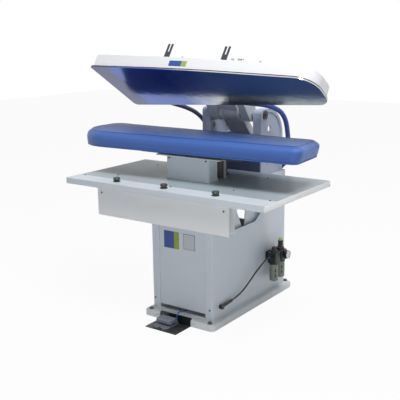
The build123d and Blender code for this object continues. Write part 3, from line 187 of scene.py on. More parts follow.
def welded(name, pieces):
    """Several meshes made one piece."""
    pick_only(pieces[0])
    for piece in pieces[1:]:
        piece.select_set(True)
    bpy.ops.object.join()
    pieces[0].name = name
    return pieces[0]


def tint(red, green, blue):
    """A colour as a paint chart gives it, 0 to 255, as the light that the shader takes."""
    light = [c / 3294.6 if c < 11 else ((c / 255 + 0.055) / 1.055) ** 2.4 for c in (red, green, blue)]
    return (*light, 1)


def put(tree, kind, values=None, **settings):
    """Node in a tree, with its settings, its inputs set or wired."""
    made = tree.nodes.new(kind)
    for name, value in settings.items():
        setattr(made, name, value)
    for name, value in (values or {}).items():
        if isinstance(value, bpy.types.NodeSocket):
            tree.links.new(value, made.inputs[name])
        else:
            made.inputs[name].default_value = value
    return made


def reckon(tree, operation, first, second=0.0, clamp=False):
    """Result of one sum between two values of a tree."""
    return put(tree, "ShaderNodeMath", {0: first, 1: second}, operation=operation, use_clamp=clamp).outputs[0]


def times(tree, first, second, clamp=False):
    """Product of two values of a tree."""
    return reckon(tree, "MULTIPLY", first, second, clamp)


def object_place(tree):
    """Where a point of a piece is, in the object's own frame."""
    return put(tree, "ShaderNodeTexCoord").outputs["Object"]


def mixed(tree, share, first, second):
    """Colour between two colours of a tree."""
    return put(tree, "ShaderNodeMix", {0: share, 6: first, 7: second}, data_type="RGBA").outputs[2]


def shared_effect(name, given, results):
    """Empty node group with its inputs and outputs."""
    tree = bpy.data.node_groups.new(name, "ShaderNodeTree")
    for label, value in given.items():
        tree.interface.new_socket(label, in_out="INPUT", socket_type="NodeSocketFloat").default_value = value
    for label, kind in results.items():
        tree.interface.new_socket(label, in_out="OUTPUT", socket_type=kind)
    return tree, put(tree, "NodeGroupInput"), put(tree, "NodeGroupOutput")


def end_effect(tree, last, results):
    """What the group puts out, wired to its last node."""
    for label, socket in results.items():
        tree.links.new(socket, last.inputs[label])


# grain: the fine texture of a skin, and the slow patches in its colour
grain_effect, given, last = shared_effect(
    "grain", {"Scale": 400.0, "Patch scale": 5.0}, {"Height": "NodeSocketFloat", "Patches": "NodeSocketFloat"}
)
where = object_place(grain_effect)
fine = put(grain_effect, "ShaderNodeTexNoise", {"Vector": where, "Scale": given.outputs["Scale"], "Detail": 2.0})
slow = put(
    grain_effect, "ShaderNodeTexNoise", {"Vector": where, "Scale": given.outputs["Patch scale"], "Detail": 4.0}
)
end_effect(grain_effect, last, {"Height": fine.outputs[0], "Patches": slow.outputs[0]})

# edges: where the sharp edges are, broken up as rubbed edges are, and a softened surface there
edge_effect, given, last = shared_effect(
    "edges", {"Radius": 0.0015, "Breaks": 40.0}, {"Mask": "NodeSocketFloat", "Normal": "NodeSocketVector"}
)
softened = put(edge_effect, "ShaderNodeBevel", {"Radius": given.outputs["Radius"]}, samples=4)
surface = put(edge_effect, "ShaderNodeNewGeometry")
along = put(
    edge_effect, "ShaderNodeVectorMath", {0: softened.outputs[0], 1: surface.outputs["Normal"]},
    operation="DOT_PRODUCT",
)
bend = times(edge_effect, reckon(edge_effect, "SUBTRACT", 0.97, along.outputs["Value"]), 6.0, clamp=True)
where = object_place(edge_effect)
rubbed = put(edge_effect, "ShaderNodeTexNoise", {"Vector": where, "Scale": given.outputs["Breaks"], "Detail": 5.0})
chips = times(edge_effect, reckon(edge_effect, "SUBTRACT", rubbed.outputs[0], 0.42), 4.0, clamp=True)
end_effect(edge_effect, last, {"Mask": times(edge_effect, bend, chips), "Normal": softened.outputs[0]})

# dust: a thin uneven film on what faces up
dust_effect, given, last = shared_effect("dust", {"Amount": 0.1}, {"Mask": "NodeSocketFloat"})
surface = put(dust_effect, "ShaderNodeNewGeometry")
upward = put(dust_effect, "ShaderNodeSeparateXYZ", {0: surface.outputs["Normal"]}).outputs["Z"]
facing = times(dust_effect, reckon(dust_effect, "SUBTRACT", upward, 0.6), 2.5, clamp=True)
where = object_place(dust_effect)
drift = put(dust_effect, "ShaderNodeTexNoise", {"Vector": where, "Scale": 14.0, "Detail": 6.0, "Roughness": 0.7})
film = times(dust_effect, facing, times(dust_effect, drift.outputs[0], given.outputs["Amount"]))
end_effect(dust_effect, last, {"Mask": film})

dust_colour = tint(196, 192, 184)


def press_finish(
    name, colour, rough, metal=0.0, grain=500.0, depth=0.1, patchy=0.06, rub=0.3, rubbed_to=None, dust=0.15,
    soft=0.0012,
):
    """Material with grain, slow patches, rubbed edges and a film of dust; gives it and its shader."""
    material = bpy.data.materials.new(name)
    material.use_nodes = True
    tree = material.node_tree
    shader = tree.nodes["Principled BSDF"]
    skin = put(tree, "ShaderNodeGroup", node_tree=grain_effect)
    skin.inputs["Scale"].default_value = grain
    rims = put(tree, "ShaderNodeGroup", node_tree=edge_effect)
    rims.inputs["Radius"].default_value = soft
    film = put(tree, "ShaderNodeGroup", node_tree=dust_effect)
    film.inputs["Amount"].default_value = dust
    darker = tuple(c * (1 - patchy) for c in colour[:3]) + (1,)
    lighter = tuple(min(1.0, c * (1 + patchy)) for c in colour[:3]) + (1,)
    body = mixed(tree, skin.outputs["Patches"], darker, lighter)
    rubbed_colour = rubbed_to or tuple(min(1.0, c * 1.25) for c in colour[:3]) + (1,)
    body = mixed(tree, times(tree, rims.outputs["Mask"], rub), body, rubbed_colour)
    body = mixed(tree, film.outputs["Mask"], body, dust_colour)
    tree.links.new(body, shader.inputs["Base Color"])
    gloss = reckon(tree, "ADD", times(tree, skin.outputs["Patches"], 0.12), rough - 0.06)
    gloss = reckon(tree, "ADD", gloss, times(tree, film.outputs["Mask"], 0.5), clamp=True)
    tree.links.new(gloss, shader.inputs["Roughness"])
    relief = put(
        tree,
        "ShaderNodeBump",
        {"Strength": depth, "Distance": 0.0004, "Height": skin.outputs["Height"], "Normal": rims.outputs["Normal"]},
    )
    tree.links.new(relief.outputs[0], shader.inputs["Normal"])
    shader.inputs["Metallic"].default_value = metal
    return material, shader


def dress(material, *pieces):
    """The material put on finished pieces or on parts named by the frame."""
    for piece in pieces:
        shown = parts[piece] if isinstance(piece, str) else piece
        shown.data.materials.clear()
        shown.data.materials.append(material)


def present_colour(shader):
    """Socket that the shader's colour comes from."""
    return shader.inputs["Base Color"].links[0].from_socket


def fit_on(body, slot, finish, *pieces):
    """Finish put on pieces that ride on a body; the slot is not used."""
    dress(finish, *pieces)
    for piece in pieces:
        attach(piece, body)


# braid: threads that cross round a jacket, read from the hose's own map
braid_effect, given, last = shared_effect(
    "braid", {"Strands": 10.0, "Pitch": 0.02}, {"Height": "NodeSocketFloat", "Shade": "NodeSocketFloat"}
)
own_map = put(braid_effect, "ShaderNodeUVMap", uv_map="UVMap").outputs[0]
marks = put(braid_effect, "ShaderNodeSeparateXYZ", {0: own_map})
round_it = times(braid_effect, marks.outputs["X"], times(braid_effect, given.outputs["Strands"], tau))
along_it = times(braid_effect, reckon(braid_effect, "DIVIDE", marks.outputs["Y"], given.outputs["Pitch"]), tau)
first_thread = reckon(braid_effect, "SINE", reckon(braid_effect, "ADD", round_it, along_it))
second_thread = reckon(braid_effect, "SINE", reckon(braid_effect, "SUBTRACT", round_it, along_it))
crossing = times(braid_effect, first_thread, second_thread)
raised = reckon(braid_effect, "ABSOLUTE", crossing)
end_effect(
    braid_effect, last, {"Height": raised, "Shade": reckon(braid_effect, "GREATER_THAN", crossing, 0.0)}
)


def jacket_finish(name, colour, strands, pitch, rough=0.55):
    """Woven or ribbed jacket of a hose."""
    material, shader = press_finish(name, colour, rough, grain=900, dust=0.2, rub=0)
    tree = material.node_tree
    weave = put(tree, "ShaderNodeGroup", node_tree=braid_effect)
    weave.inputs["Strands"].default_value = strands
    weave.inputs["Pitch"].default_value = pitch
    plain = present_colour(shader)
    deep = put(
        tree, "ShaderNodeMix", {0: 1.0, 6: plain, 7: (0.72, 0.74, 0.8, 1)}, data_type="RGBA", blend_type="MULTIPLY"
    )
    tree.links.new(mixed(tree, weave.outputs["Shade"], deep.outputs[2], plain), shader.inputs["Base Color"])
    relief = put(tree, "ShaderNodeBump", {"Strength": 0.5, "Distance": 0.0006, "Height": weave.outputs["Height"]})
    tree.links.new(relief.outputs[0], shader.inputs["Normal"])
    shader.inputs["Sheen Weight"].default_value = 0.2
    return material


ferrule_steel, _ = press_finish("ferrule_steel", tint(172, 174, 176), 0.3, metal=1.0, grain=1200, depth=0.05)


def ferrule(name, place, way, radius):
    """Crimped steel sleeve on the end of a hose, with three pressed grooves and a collar."""
    r = radius
    outline = [(r, 0), (r + 0.0045, 0), (r + 0.0045, 0.004), (r + 0.0028, 0.005)]
    for groove in (0.010, 0.017, 0.024):
        outline += [(r + 0.0028, groove - 0.002), (r + 0.0012, groove), (r + 0.0028, groove + 0.002)]
    outline += [(r + 0.0028, 0.030), (r + 0.0014, 0.032), (r, 0.032), (r, 0)]
    piece = turned(name, outline, place, way, steps=36, smooth=30)
    dress(ferrule_steel, piece)
    return piece


steam_points = [
    (0.15204, -0.05281, 1.23201), (0.15629, -0.01483, 1.20640), (0.196, 0.020, 1.200), (0.250, 0.072, 1.190),
    (0.283, 0.128, 1.170), (0.299, 0.184, 1.138), (0.304, 0.226, 1.084), (0.301, 0.252, 1.012),
    (0.298, 0.272, 0.930), (0.280, 0.312, 0.866), (0.238, 0.368, 0.824), (0.176, 0.406, 0.782),
    (0.122, 0.3923, 0.700), (0.100, 0.3803, 0.636), (0.100, 0.3803, 0.550),
]
drain_points = [
    (-0.39796, -0.01041, 1.20342), (-0.39371, 0.02756, 1.17780), (-0.376, 0.078, 1.162), (-0.336, 0.124, 1.142),
    (-0.292, 0.168, 1.110), (-0.262, 0.208, 1.058), (-0.252, 0.244, 0.992), (-0.254, 0.282, 0.916),
    (-0.252, 0.328, 0.856), (-0.222, 0.376, 0.810), (-0.170, 0.398, 0.770), (-0.120, 0.3923, 0.700),
    (-0.100, 0.3803, 0.636), (-0.100, 0.3803, 0.550),
]


def flexing_hose(name, points, radius, strands, colour):
    """Hose laid from the head to the manifold, with a ferrule that rides on the head and one on the base."""
    line = laid_line(points)
    piece = tube_on(name, line, radius, sides=28)
    dress(jacket_finish(name + "_jacket", colour, strands, 0.03), piece)
    start, finish = line[0], line[-1]
    out = (line[1] - line[0]).normalized()
    into = (line[-2] - line[-1]).normalized()
    on_head = ferrule(name + "_head_ferrule", start, out, radius)
    on_manifold = ferrule(name + "_manifold_ferrule", finish, into, radius)
    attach(on_head, "head")
    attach(on_manifold, "base")
    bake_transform(piece)
    return piece


steam_hose = flexing_hose(
    "steam_hose_jacket", steam_points, 0.014, 12, tint(46, 80, 164)
)
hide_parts("steam_hose")
drain_hose = flexing_hose(
    "return_hose_jacket", drain_points, 0.013, 12, tint(40, 46, 84),
)
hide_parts("return_hose")

# Air hose: a smooth black polyurethane tube from the lubricator, down the right side of the
# cabinet and into a sleeve at the gland. A push-in fitting grips its upper end.
def air_line(name, points, radius, sides, finish, fit_name, fit_outline, fit_way, node):
    """Air tube on its line, with the push-in fitting that grips its first end."""
    line = laid_line(points)
    tube = tube_on(name, line, radius, sides=sides)
    dress(finish, tube)
    push_fit = turned(fit_name, fit_outline, line[0], fit_way, steps=24)
    dress(fitting_blue, push_fit)
    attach(push_fit, "base")
    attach(tube, "base")
    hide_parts(node)


tube_black, _ = press_finish("tube_black", tint(24, 25, 28), 0.32, grain=800, depth=0.04, dust=0.25, rub=0)
fitting_blue, _ = press_finish("fitting_blue", tint(44, 72, 130), 0.4, grain=600, dust=0.2)
air_points = [
    (0.258, 0.131, 0.279), (0.258, 0.098, 0.279), (0.250, 0.054, 0.254), (0.241, 0.002, 0.220),
    (0.236, -0.050, 0.185), (0.232, -0.100, 0.154), (0.229, -0.148, 0.133),
    (0.2259, -0.1906, 0.1214), (0.2235, -0.234, 0.116),
]
air_fit = [
    (0.0047, 0), (0.0075, 0.001), (0.0082, 0.003), (0.0082, 0.007), (0.0068, 0.008), (0.0068, 0.013),
    (0.0047, 0.014), (0.0047, 0),
]
air_line(
    "air_tube", air_points, 0.0046, 16, tube_black, "air_push_fitting", air_fit, (0, -1, 0),
    "air_hose",
)

# Pedal tube: a thin blue air line that rises from the pedal and goes in under the door.
pedal_points = [
    (0.014, -0.470, 0.014), (0.014, -0.470, 0.034), (0.013, -0.468, 0.058), (0.012, -0.452, 0.070),
    (0.011, -0.428, 0.068), (0.010, -0.404, 0.060), (0.010, -0.376, 0.056),
]
tube_blue, _ = press_finish("tube_blue", tint(38, 78, 158), 0.3, grain=700, depth=0.04, dust=0.1, rub=0)
pedal_fit = [(0.0037, 0), (0.0066, 0), (0.0066, 0.004), (0.0055, 0.005), (0.0055, 0.009), (0.0037, 0.010), (0.0037, 0)]
air_line(
    "pedal_air_tube", pedal_points, 0.0036, 14, tube_blue, "pedal_push_fitting", pedal_fit, (0, 0, 1),
    "pedal_tube",
)

# Plinth: a pressed steel tray that the cabinet stands on, powder-coated a shade greyer than
# the rest and scuffed by shoes. Four hexagon bolts with washers hold it to the floor.
plinth_paint, _ = press_finish(
    "plinth_paint", tint(240, 244, 247), 0.42, grain=380, depth=0.12, rub=0.4, rubbed_to=tint(176, 178, 178),
    dust=0.2,
)
dress(plinth_paint, "base_plinth")
zinc_steel, _ = press_finish("zinc_steel", tint(176, 180, 184), 0.34, metal=1.0, grain=900, depth=0.08, dust=0.3)
bolt_steel, _ = press_finish("bolt_steel", tint(92, 97, 104), 0.4, metal=0.7, grain=900, depth=0.1, dust=0.2)
first_bolt = None
for number, place in enumerate([(-0.205, -0.424), (0.205, -0.424), (-0.205, 0.424), (0.205, 0.424)]):
    if first_bolt is None:
        washer = turned(
            "washer",
            [(0.0065, 0), (0.0136, 0), (0.014, 0.0004), (0.014, 0.0021), (0.0136, 0.0025), (0.0065, 0.0025)],
            (*place, 0.037),
        )
        head = turned(
            "head", [(0, 0), (0.0110, 0), (0.0110, 0.0064), (0.0098, 0.0080), (0.004, 0.0082), (0, 0.0082)],
            (*place, 0.0395), steps=6,
        )
        shank = turned(
            "shank", [(0, -0.033), (0.0054, -0.033), (0.006, -0.0315), (0.006, 0), (0, 0)], (*place, 0.037)
        )
        floor_bolt = first_bolt = welded("floor_bolt_0", [washer, head, shank])
        home = Vector((*place, 0))
    else:
        floor_bolt = bpy.data.objects.new(f"floor_bolt_{number}", first_bolt.data.copy())
        bpy.context.collection.objects.link(floor_bolt)
        tightened = Matrix.Rotation(radians(17 * number), 4, "Z")
        floor_bolt.data.transform(Matrix.Translation((*place, 0)) @ tightened @ Matrix.Translation(-home))
    fit_on("base", "zinc_steel", bolt_steel, floor_bolt)
    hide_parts("floor_bolts")

# Cabinet: folded sheet steel panels round a welded frame, all in white powder coat with the
# faint ripple that such a coat has. The door pan sits back between the two front posts.
white_paint, _ = press_finish(
    "white_paint", tint(222, 230, 238), 0.36, grain=330, depth=0.1, patchy=0.02, rub=0.9,
    rubbed_to=tint(250, 251, 253), dust=0.08, soft=0.0018,
)
dress(white_paint, "main_frame", "side_panel_left", "side_panel_right", "rear_panel", "front_door", "pedestal")
apron_paint, _ = press_finish("apron_paint", tint(250, 252, 254), 0.4, grain=300, depth=0.1, patchy=0.03, dust=0.1)
dress(white_paint, "control_strip")
dress(apron_paint, "apron")
dress(zinc_steel, "head_fittings")
screw_steel, _ = press_finish("screw_steel", tint(74, 79, 86), 0.4, metal=0.6, grain=900, depth=0.08, dust=0.1)
dress(screw_steel, "panel_screws")


def round_edges(piece, width, segments):
    """Edges of the active piece rounded."""
    rounding = piece.modifiers.new("rounding", "BEVEL")
    rounding.width = width
    rounding.segments = segments
    rounding.limit_method = "ANGLE"
    bpy.ops.object.modifier_apply(modifier="rounding")


def beside(name, low, high, thickness, soft):
    """Band of sheet folded round an upright box, open above and below."""
    middle = [(a + b) / 2 for a, b in zip(low, high)]
    bpy.ops.object.select_all(action="DESELECT")
    bpy.ops.mesh.primitive_cube_add(size=1, location=middle, scale=[b - a for a, b in zip(low, high)])
    band = bpy.context.object
    band.name = band.data.name = name
    bpy.ops.object.transform_apply()
    bpy.ops.object.mode_set(mode="EDIT")
    bpy.ops.mesh.select_mode(type="FACE")
    bpy.ops.mesh.select_all(action="DESELECT")
    bpy.ops.object.mode_set(mode="OBJECT")
    for face in band.data.polygons:
        face.select = abs(face.normal.z) > 0.5
    bpy.ops.object.mode_set(mode="EDIT")
    bpy.ops.mesh.delete(type="ONLY_FACE")
    bpy.ops.mesh.select_mode(type="VERT")
    bpy.ops.object.mode_set(mode="OBJECT")
    wall = band.modifiers.new("wall", "SOLIDIFY")
    wall.thickness = thickness
    wall.offset = 1
    wall.use_even_offset = True
    bpy.ops.object.modifier_apply(modifier="wall")
    round_edges(band, soft, 3)
    bpy.ops.object.shade_smooth_by_angle(angle=radians(40))
    return band


# Door plates: thin printed aluminium plates stuck on the door, left blank. The wide one has a
# blue field beside a lime one, the other is a plain silver tag.
plate_blue, shader = press_finish("plate_blue", tint(36, 76, 156), 0.3, grain=300, depth=0.03, dust=0.05)
tree = plate_blue.node_tree
place_on_door = put(tree, "ShaderNodeSeparateXYZ", {0: object_place(tree)})
across, upwards = place_on_door.outputs["X"], place_on_door.outputs["Z"]
plain = present_colour(shader)
on_lime = times(tree, reckon(tree, "GREATER_THAN", across, -0.0542), reckon(tree, "LESS_THAN", across, 0.0))
two_tone = mixed(tree, on_lime, plain, tint(150, 168, 62))
on_tag = reckon(tree, "GREATER_THAN", across, 0.0)
tag_colours = mixed(tree, on_tag, two_tone, tint(206, 212, 218))
beside_middle = reckon(tree, "ABSOLUTE", reckon(tree, "SUBTRACT", across, 0.051), 0)
above_middle = reckon(tree, "ABSOLUTE", reckon(tree, "SUBTRACT", upwards, 0.468), 0)
at_sides = reckon(tree, "GREATER_THAN", beside_middle, 0.0365)
on_border = reckon(tree, "MAXIMUM", at_sides, reckon(tree, "GREATER_THAN", above_middle, 0.0415))
on_border = times(tree, on_tag, on_border)
tree.links.new(mixed(tree, on_border, tag_colours, tint(96, 108, 128)), shader.inputs["Base Color"])
dress(plate_blue, "door_plates")

# Work table: a board faced with grey-white laminate that has a fine speckle, edged with a
# rounded plastic band. Its front edge is under the folded control strip.
laminate, shader = press_finish("laminate", tint(168, 182, 190), 0.36, grain=700, depth=0.05, patchy=0.03, dust=0.1)
tree = laminate.node_tree
where = object_place(tree)
flecks = put(tree, "ShaderNodeTexVoronoi", {"Vector": where, "Scale": 420.0}).outputs["Distance"]
fleck = reckon(tree, "LESS_THAN", flecks, 0.17)
plain = present_colour(shader)
tree.links.new(mixed(tree, times(tree, fleck, 0.4), plain, tint(172, 178, 186)), shader.inputs["Base Color"])
dress(laminate, "table_top")
edge_band = beside("table_edge_band", (-0.6420, -0.6175, 0.7653), (0.6580, 0.0830, 0.7967), 0.0015, 0.0006)
edge_plastic, _ = press_finish("edge_plastic", tint(250, 251, 252), 0.34, grain=300, depth=0.06, patchy=0.02)
fit_on("base", "white_paint", edge_plastic, edge_band)

# Buttons: three palm buttons on the control strip. Each is a moulded cap that slides on a
# black collar, and a ribbed nut clamps the collar to the strip.
button_y = -0.560
strip_top = 0.7985
rib_count = 48
black_plastic, _ = press_finish("black_plastic", tint(26, 27, 30), 0.4, grain=500, depth=0.08, dust=0.25)
dress(black_plastic, "button_valves", "bearing_caps", "hose_sleeve")
green_cap, shader = press_finish("green_cap", tint(14, 66, 58), 0.26, grain=260, depth=0.03, dust=0.15)
shader.inputs["Coat Weight"].default_value = 0.3
dark_cap, shader = press_finish("dark_cap", tint(52, 16, 24), 0.26, grain=260, depth=0.03, dust=0.15)
shader.inputs["Coat Weight"].default_value = 0.3
for name, x, cap in (
    ("button_left", -0.314, green_cap), ("button_middle", 0.014, dark_cap), ("button_right", 0.342, green_cap)
):
    dress(cap, name)
    ribs = []
    rings = ((0, 0), (0, 0.0042), (0.0009, 0.0051), (0.0040, 0.0051), (0.0040, 0))
    for inset, height in rings:
        for k in range(rib_count):
            radius = (0.0200 if k % 2 else 0.0188) - inset
            round_it = tau * k / rib_count
            ribs.append((x + radius * cos(round_it), button_y + radius * sin(round_it), strip_top + height))
    walls = []
    for row in range(len(rings)):
        here, above = rib_count * row, rib_count * ((row + 1) % len(rings))
        for k in range(rib_count):
            after = (k + 1) % rib_count
            walls.append((here + k, here + after, above + after, above + k))
    nut = from_corners(name + "_nut", ribs, walls)
    pick_only(nut)
    edit_all()
    bpy.ops.mesh.normals_make_consistent(inside=False)
    bpy.ops.object.mode_set(mode="OBJECT")
    bpy.ops.object.shade_smooth_by_angle(angle=radians(25))
    fit_on("base", "black_plastic", black_plastic, nut)
    rim = turned(
        name + "_rim",
        [(0, 0.0002), (0.0098, 0.0002), (0.0104, 0.0010), (0.0112, 0.0010), (0.0118, 0.0001), (0.0118, -0.001),
         (0, -0.001)],
        (x, button_y, 0.8230), steps=48,
    )
    fit_on(name, "dark_cap" if cap == dark_cap else "green_cap", cap, rim)

# Pedestal, duct and rails: the white box pedestal and the dark suction duct carry two rails
# under the buck. Folded feet cover the joints where box and duct meet the table.
dark_paint, _ = press_finish(
    "dark_paint", tint(50, 56, 66), 0.45, grain=400, depth=0.12, rub=0.5, rubbed_to=tint(120, 124, 128)
)
dress(dark_paint, "vacuum_duct", "buck_rails", "cylinder_beam", "unit_bracket", "slotted_brackets")
pedestal_foot = beside("pedestal_foot", (-0.1437, -0.3302, 0.7971), (0.1437, -0.2458, 0.8090), 0.0020, 0.0008)
duct_foot = beside("duct_foot", (-0.0952, -0.2202, 0.7971), (0.0952, -0.0698, 0.8110), 0.0020, 0.0008)
for foot, finish, slot in ((pedestal_foot, white_paint, "white_paint"), (duct_foot, dark_paint, "dark_paint")):
    fit_on("base", slot, finish, foot)

# Steam chest: a cast aluminium tray under the buck with a drilled steel lid and a layer of
# felt on it. The cover hides all but its underside and its two pipes.
cast_alloy, _ = press_finish("cast_alloy", tint(140, 142, 144), 0.55, metal=0.8, grain=260, depth=0.5, rub=0.2)
perforated_steel, _ = press_finish("perforated_steel", tint(160, 163, 166), 0.35, metal=1.0, grain=600)
felt, shader = press_finish("felt", tint(206, 200, 186), 0.9, grain=1400, depth=0.6, rub=0, soft=0.003)
shader.inputs["Sheen Weight"].default_value = 0.4
dress(cast_alloy, "steam_chest", "chest_pipes", "head_chest")
dress(perforated_steel, "chest_lid")
dress(felt, "felt_pad")

# Buck cover: a royal blue cloth cover over felt, cut with a top, a shoulder strip and a side
# strip. A corded seam joins the strips, and an elastic cord in the hem draws it in below.
plan_corners = [(-0.775, -0.448), (0.700, -0.375), (0.672, -0.062), (-0.778, -0.022)]
plan_radii = [0.230, 0.045, 0.060, 0.090]
cover_bottom = 0.953
furthest_swell = 0.0018
cloth_steps = 12


def cover_loop(inset, rise, on_arc=22, on_side=70):
    """Points round the buck's plan at a distance in from its edge, anticlockwise."""
    corners = [Vector(corner) for corner in plan_corners]
    moved = []
    for i, here in enumerate(corners):
        into = (here - corners[i - 1]).normalized()
        out = (corners[(i + 1) % 4] - here).normalized()
        both = Vector((-into.y, into.x)) + Vector((-out.y, out.x))
        moved.append(here + both * (inset / (1 + into.dot(out))))
    arcs = []
    for i, here in enumerate(moved):
        into = (here - moved[i - 1]).normalized()
        out = (moved[(i + 1) % 4] - here).normalized()
        radius = max(plan_radii[i] - inset, 0.35 * plan_radii[i])
        corner_turn = into.angle(out)
        start = here - into * radius * tan(corner_turn / 2)
        centre = start + Vector((-into.y, into.x)) * radius
        first = atan2(start.y - centre.y, start.x - centre.x)
        arcs.append([
            centre + radius * Vector((cos(first + corner_turn * k / on_arc), sin(first + corner_turn * k / on_arc)))
            for k in range(on_arc + 1)
        ])
    points = []
    for i, arc in enumerate(arcs):
        after = arcs[(i + 1) % 4][0]
        points += arc
        points += [arc[-1].lerp(after, k / on_side) for k in range(1, on_side)]
    return [Vector((p.x, p.y, cover_bottom + rise)) for p in points]


def flared(place):
    """Place moved as the right end of the cover leans: out at its shoulder and in at its hem."""
    reach = min(1.0, max(0.0, (place.x - 0.56) / 0.13))
    return place + Vector((reach * reach * (0.34 * (place.z - cover_bottom) - 0.009), 0, 0))


cover_rows = [
    (0.0120, 0.0030), (0.0060, 0.0008), (0.0025, 0.0040), (0.0008, 0.0110), (0.0002, 0.0220), (0, 0.0340), (0, 0.0470),
    (0.0004, 0.0580), (0.0018, 0.0650), (0.0048, 0.0700), (0.0100, 0.0748), (0.0170, 0.0796), (0.0240, 0.0838),
    (0.0310, 0.0866), (0.0400, 0.0873), (0.0540, 0.0882), (0.0700, 0.0893), (0.0880, 0.0904), (0.1060, 0.0914),
    (0.1240, 0.0922), (0.1400, 0.0927),
]
highest_rise = 0.0950  # the closed sole lies half a millimetre above it
loops = [cover_loop(inset, rise) for inset, rise in cover_rows]
count = len(loops[0])
corners = [point for loop in loops for point in loop]
faces = [
    (row * count + k, row * count + (k + 1) % count, (row + 1) * count + (k + 1) % count, (row + 1) * count + k)
    for row in range(len(loops) - 1)
    for k in range(count)
]
top_face = tuple((len(loops) - 1) * count + k for k in range(count))
cover = from_corners("cloth_cover", corners, faces + [top_face])
mesh = cover.data
pick_only(cover)
bpy.ops.object.mode_set(mode="EDIT")
bpy.ops.mesh.select_all(action="DESELECT")
bpy.ops.object.mode_set(mode="OBJECT")
for edge in mesh.edges:
    edge.select = all(vertex < count for vertex in edge.vertices)
bpy.ops.object.mode_set(mode="EDIT")
bpy.ops.mesh.select_mode(type="EDGE")
bpy.ops.mesh.edge_face_add()
close_outwards()
even = cover.modifiers.new("even", "REMESH")
even.mode = "VOXEL"
even.voxel_size = 0.006
bpy.ops.object.modifier_apply(modifier="even")
still = [vertex.co.copy() for vertex in mesh.vertices]
blown = cover.modifiers.new("blown", "CLOTH")
blown.settings.use_pressure = True
blown.settings.uniform_pressure_force = 4
blown.settings.effector_weights.gravity = 0
blown.settings.quality = 4
scene = bpy.context.scene
scene.frame_start, scene.frame_end = 1, cloth_steps
blown.point_cache.frame_start, blown.point_cache.frame_end = 1, cloth_steps
for step in range(1, cloth_steps + 1):
    scene.frame_set(step)
bpy.context.view_layer.update()
bpy.ops.object.modifier_apply(modifier="blown")
for vertex, rest in zip(mesh.vertices, still):
    move = vertex.co - rest
    if move.length > furthest_swell:
        vertex.co = rest + move.normalized() * furthest_swell
scene.frame_set(1)
edit_all()
bpy.ops.mesh.vertices_smooth(factor=0.5, repeat=2)
bpy.ops.mesh.bisect(plane_co=(0, 0, cover_bottom + 0.0035), plane_no=(0, 0, 1), clear_inner=True)
bpy.ops.object.mode_set(mode="OBJECT")
for vertex in mesh.vertices:
    place = vertex.co
    low = max(0.0, 1 - (place.z - cover_bottom) / 0.03)
    slack = noise.noise(Vector((place.x * 9, place.y * 9, place.z * 30)))
    gather = noise.noise(Vector((place.x * 60, place.y * 60, place.z * 6)))
    vertex.co = flared(place) + Vector((0, 0, 0.0009 * slack))
    vertex.co += 0.0016 * low * gather * Vector((place.x, place.y + 0.23, 0)).normalized()
    vertex.co.z = min(vertex.co.z, cover_bottom + highest_rise)
lining = cover.modifiers.new("lining", "SOLIDIFY")
lining.thickness = 0.008
lining.offset = -1
bpy.ops.object.modifier_apply(modifier="lining")
mesh.shade_smooth()

# weave: two sets of threads at right angles, finer than the eye parts from a step away
weave_effect, given, last = shared_effect("weave", {"Threads": 900.0}, {"Height": "NodeSocketFloat"})
where = object_place(weave_effect)
grid = put(weave_effect, "ShaderNodeSeparateXYZ", {0: where})
warp = reckon(weave_effect, "SINE", times(weave_effect, grid.outputs["X"], given.outputs["Threads"]))
upright = reckon(weave_effect, "ADD", grid.outputs["Y"], grid.outputs["Z"])
weft = reckon(weave_effect, "SINE", times(weave_effect, upright, given.outputs["Threads"]))
end_effect(weave_effect, last, {"Height": times(weave_effect, warp, weft)})


def cloth_finish(name, colour):
    """Dyed cotton-like cloth with a weave, a soft nap and slow fading."""
    material, shader = press_finish(
        name, colour, 0.42, grain=260, depth=0.2, patchy=0.12, rub=0, dust=0.0, soft=0.003
    )
    tree = material.node_tree
    threads = put(tree, "ShaderNodeGroup", node_tree=weave_effect)
    threads.inputs["Threads"].default_value = 2600.0
    relief = put(
        tree, "ShaderNodeBump",
        {"Strength": 0.35, "Distance": 0.0004, "Height": threads.outputs["Height"],
         "Normal": shader.inputs["Normal"].links[0].from_socket},
    )
    tree.links.new(relief.outputs[0], shader.inputs["Normal"])
    shader.inputs["Sheen Weight"].default_value = 0.6
    shader.inputs["Sheen Roughness"].default_value = 0.35
    shader.inputs["Sheen Tint"].default_value = tint(150, 185, 240)
    return material


blue_cloth = cloth_finish("blue_cloth", tint(64, 104, 182))
seam_cloth = cloth_finish("seam_cloth", tint(28, 50, 112))
dress(blue_cloth, cover)
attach(cover, "base")
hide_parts("buck_cover")
for name, inset, rise, radius in (
    ("cover_seam", 0.0322, 0.0872, 0.0020), ("cover_hem_cord", 0.0052, 0.0042, 0.0028)
):
    cord_line = [flared(place) for place in cover_loop(inset, rise, on_arc=16, on_side=30)]
    if name == "cover_seam":
        cord_line = [cover.closest_point_on_mesh(place + Vector((0, 0, 0.004)))[1] for place in cord_line]
    cording = tube_on(name, cord_line, radius, sides=10, closed=True)
    dress(seam_cloth if name == "cover_seam" else blue_cloth, cording)
    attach(cording, "base")

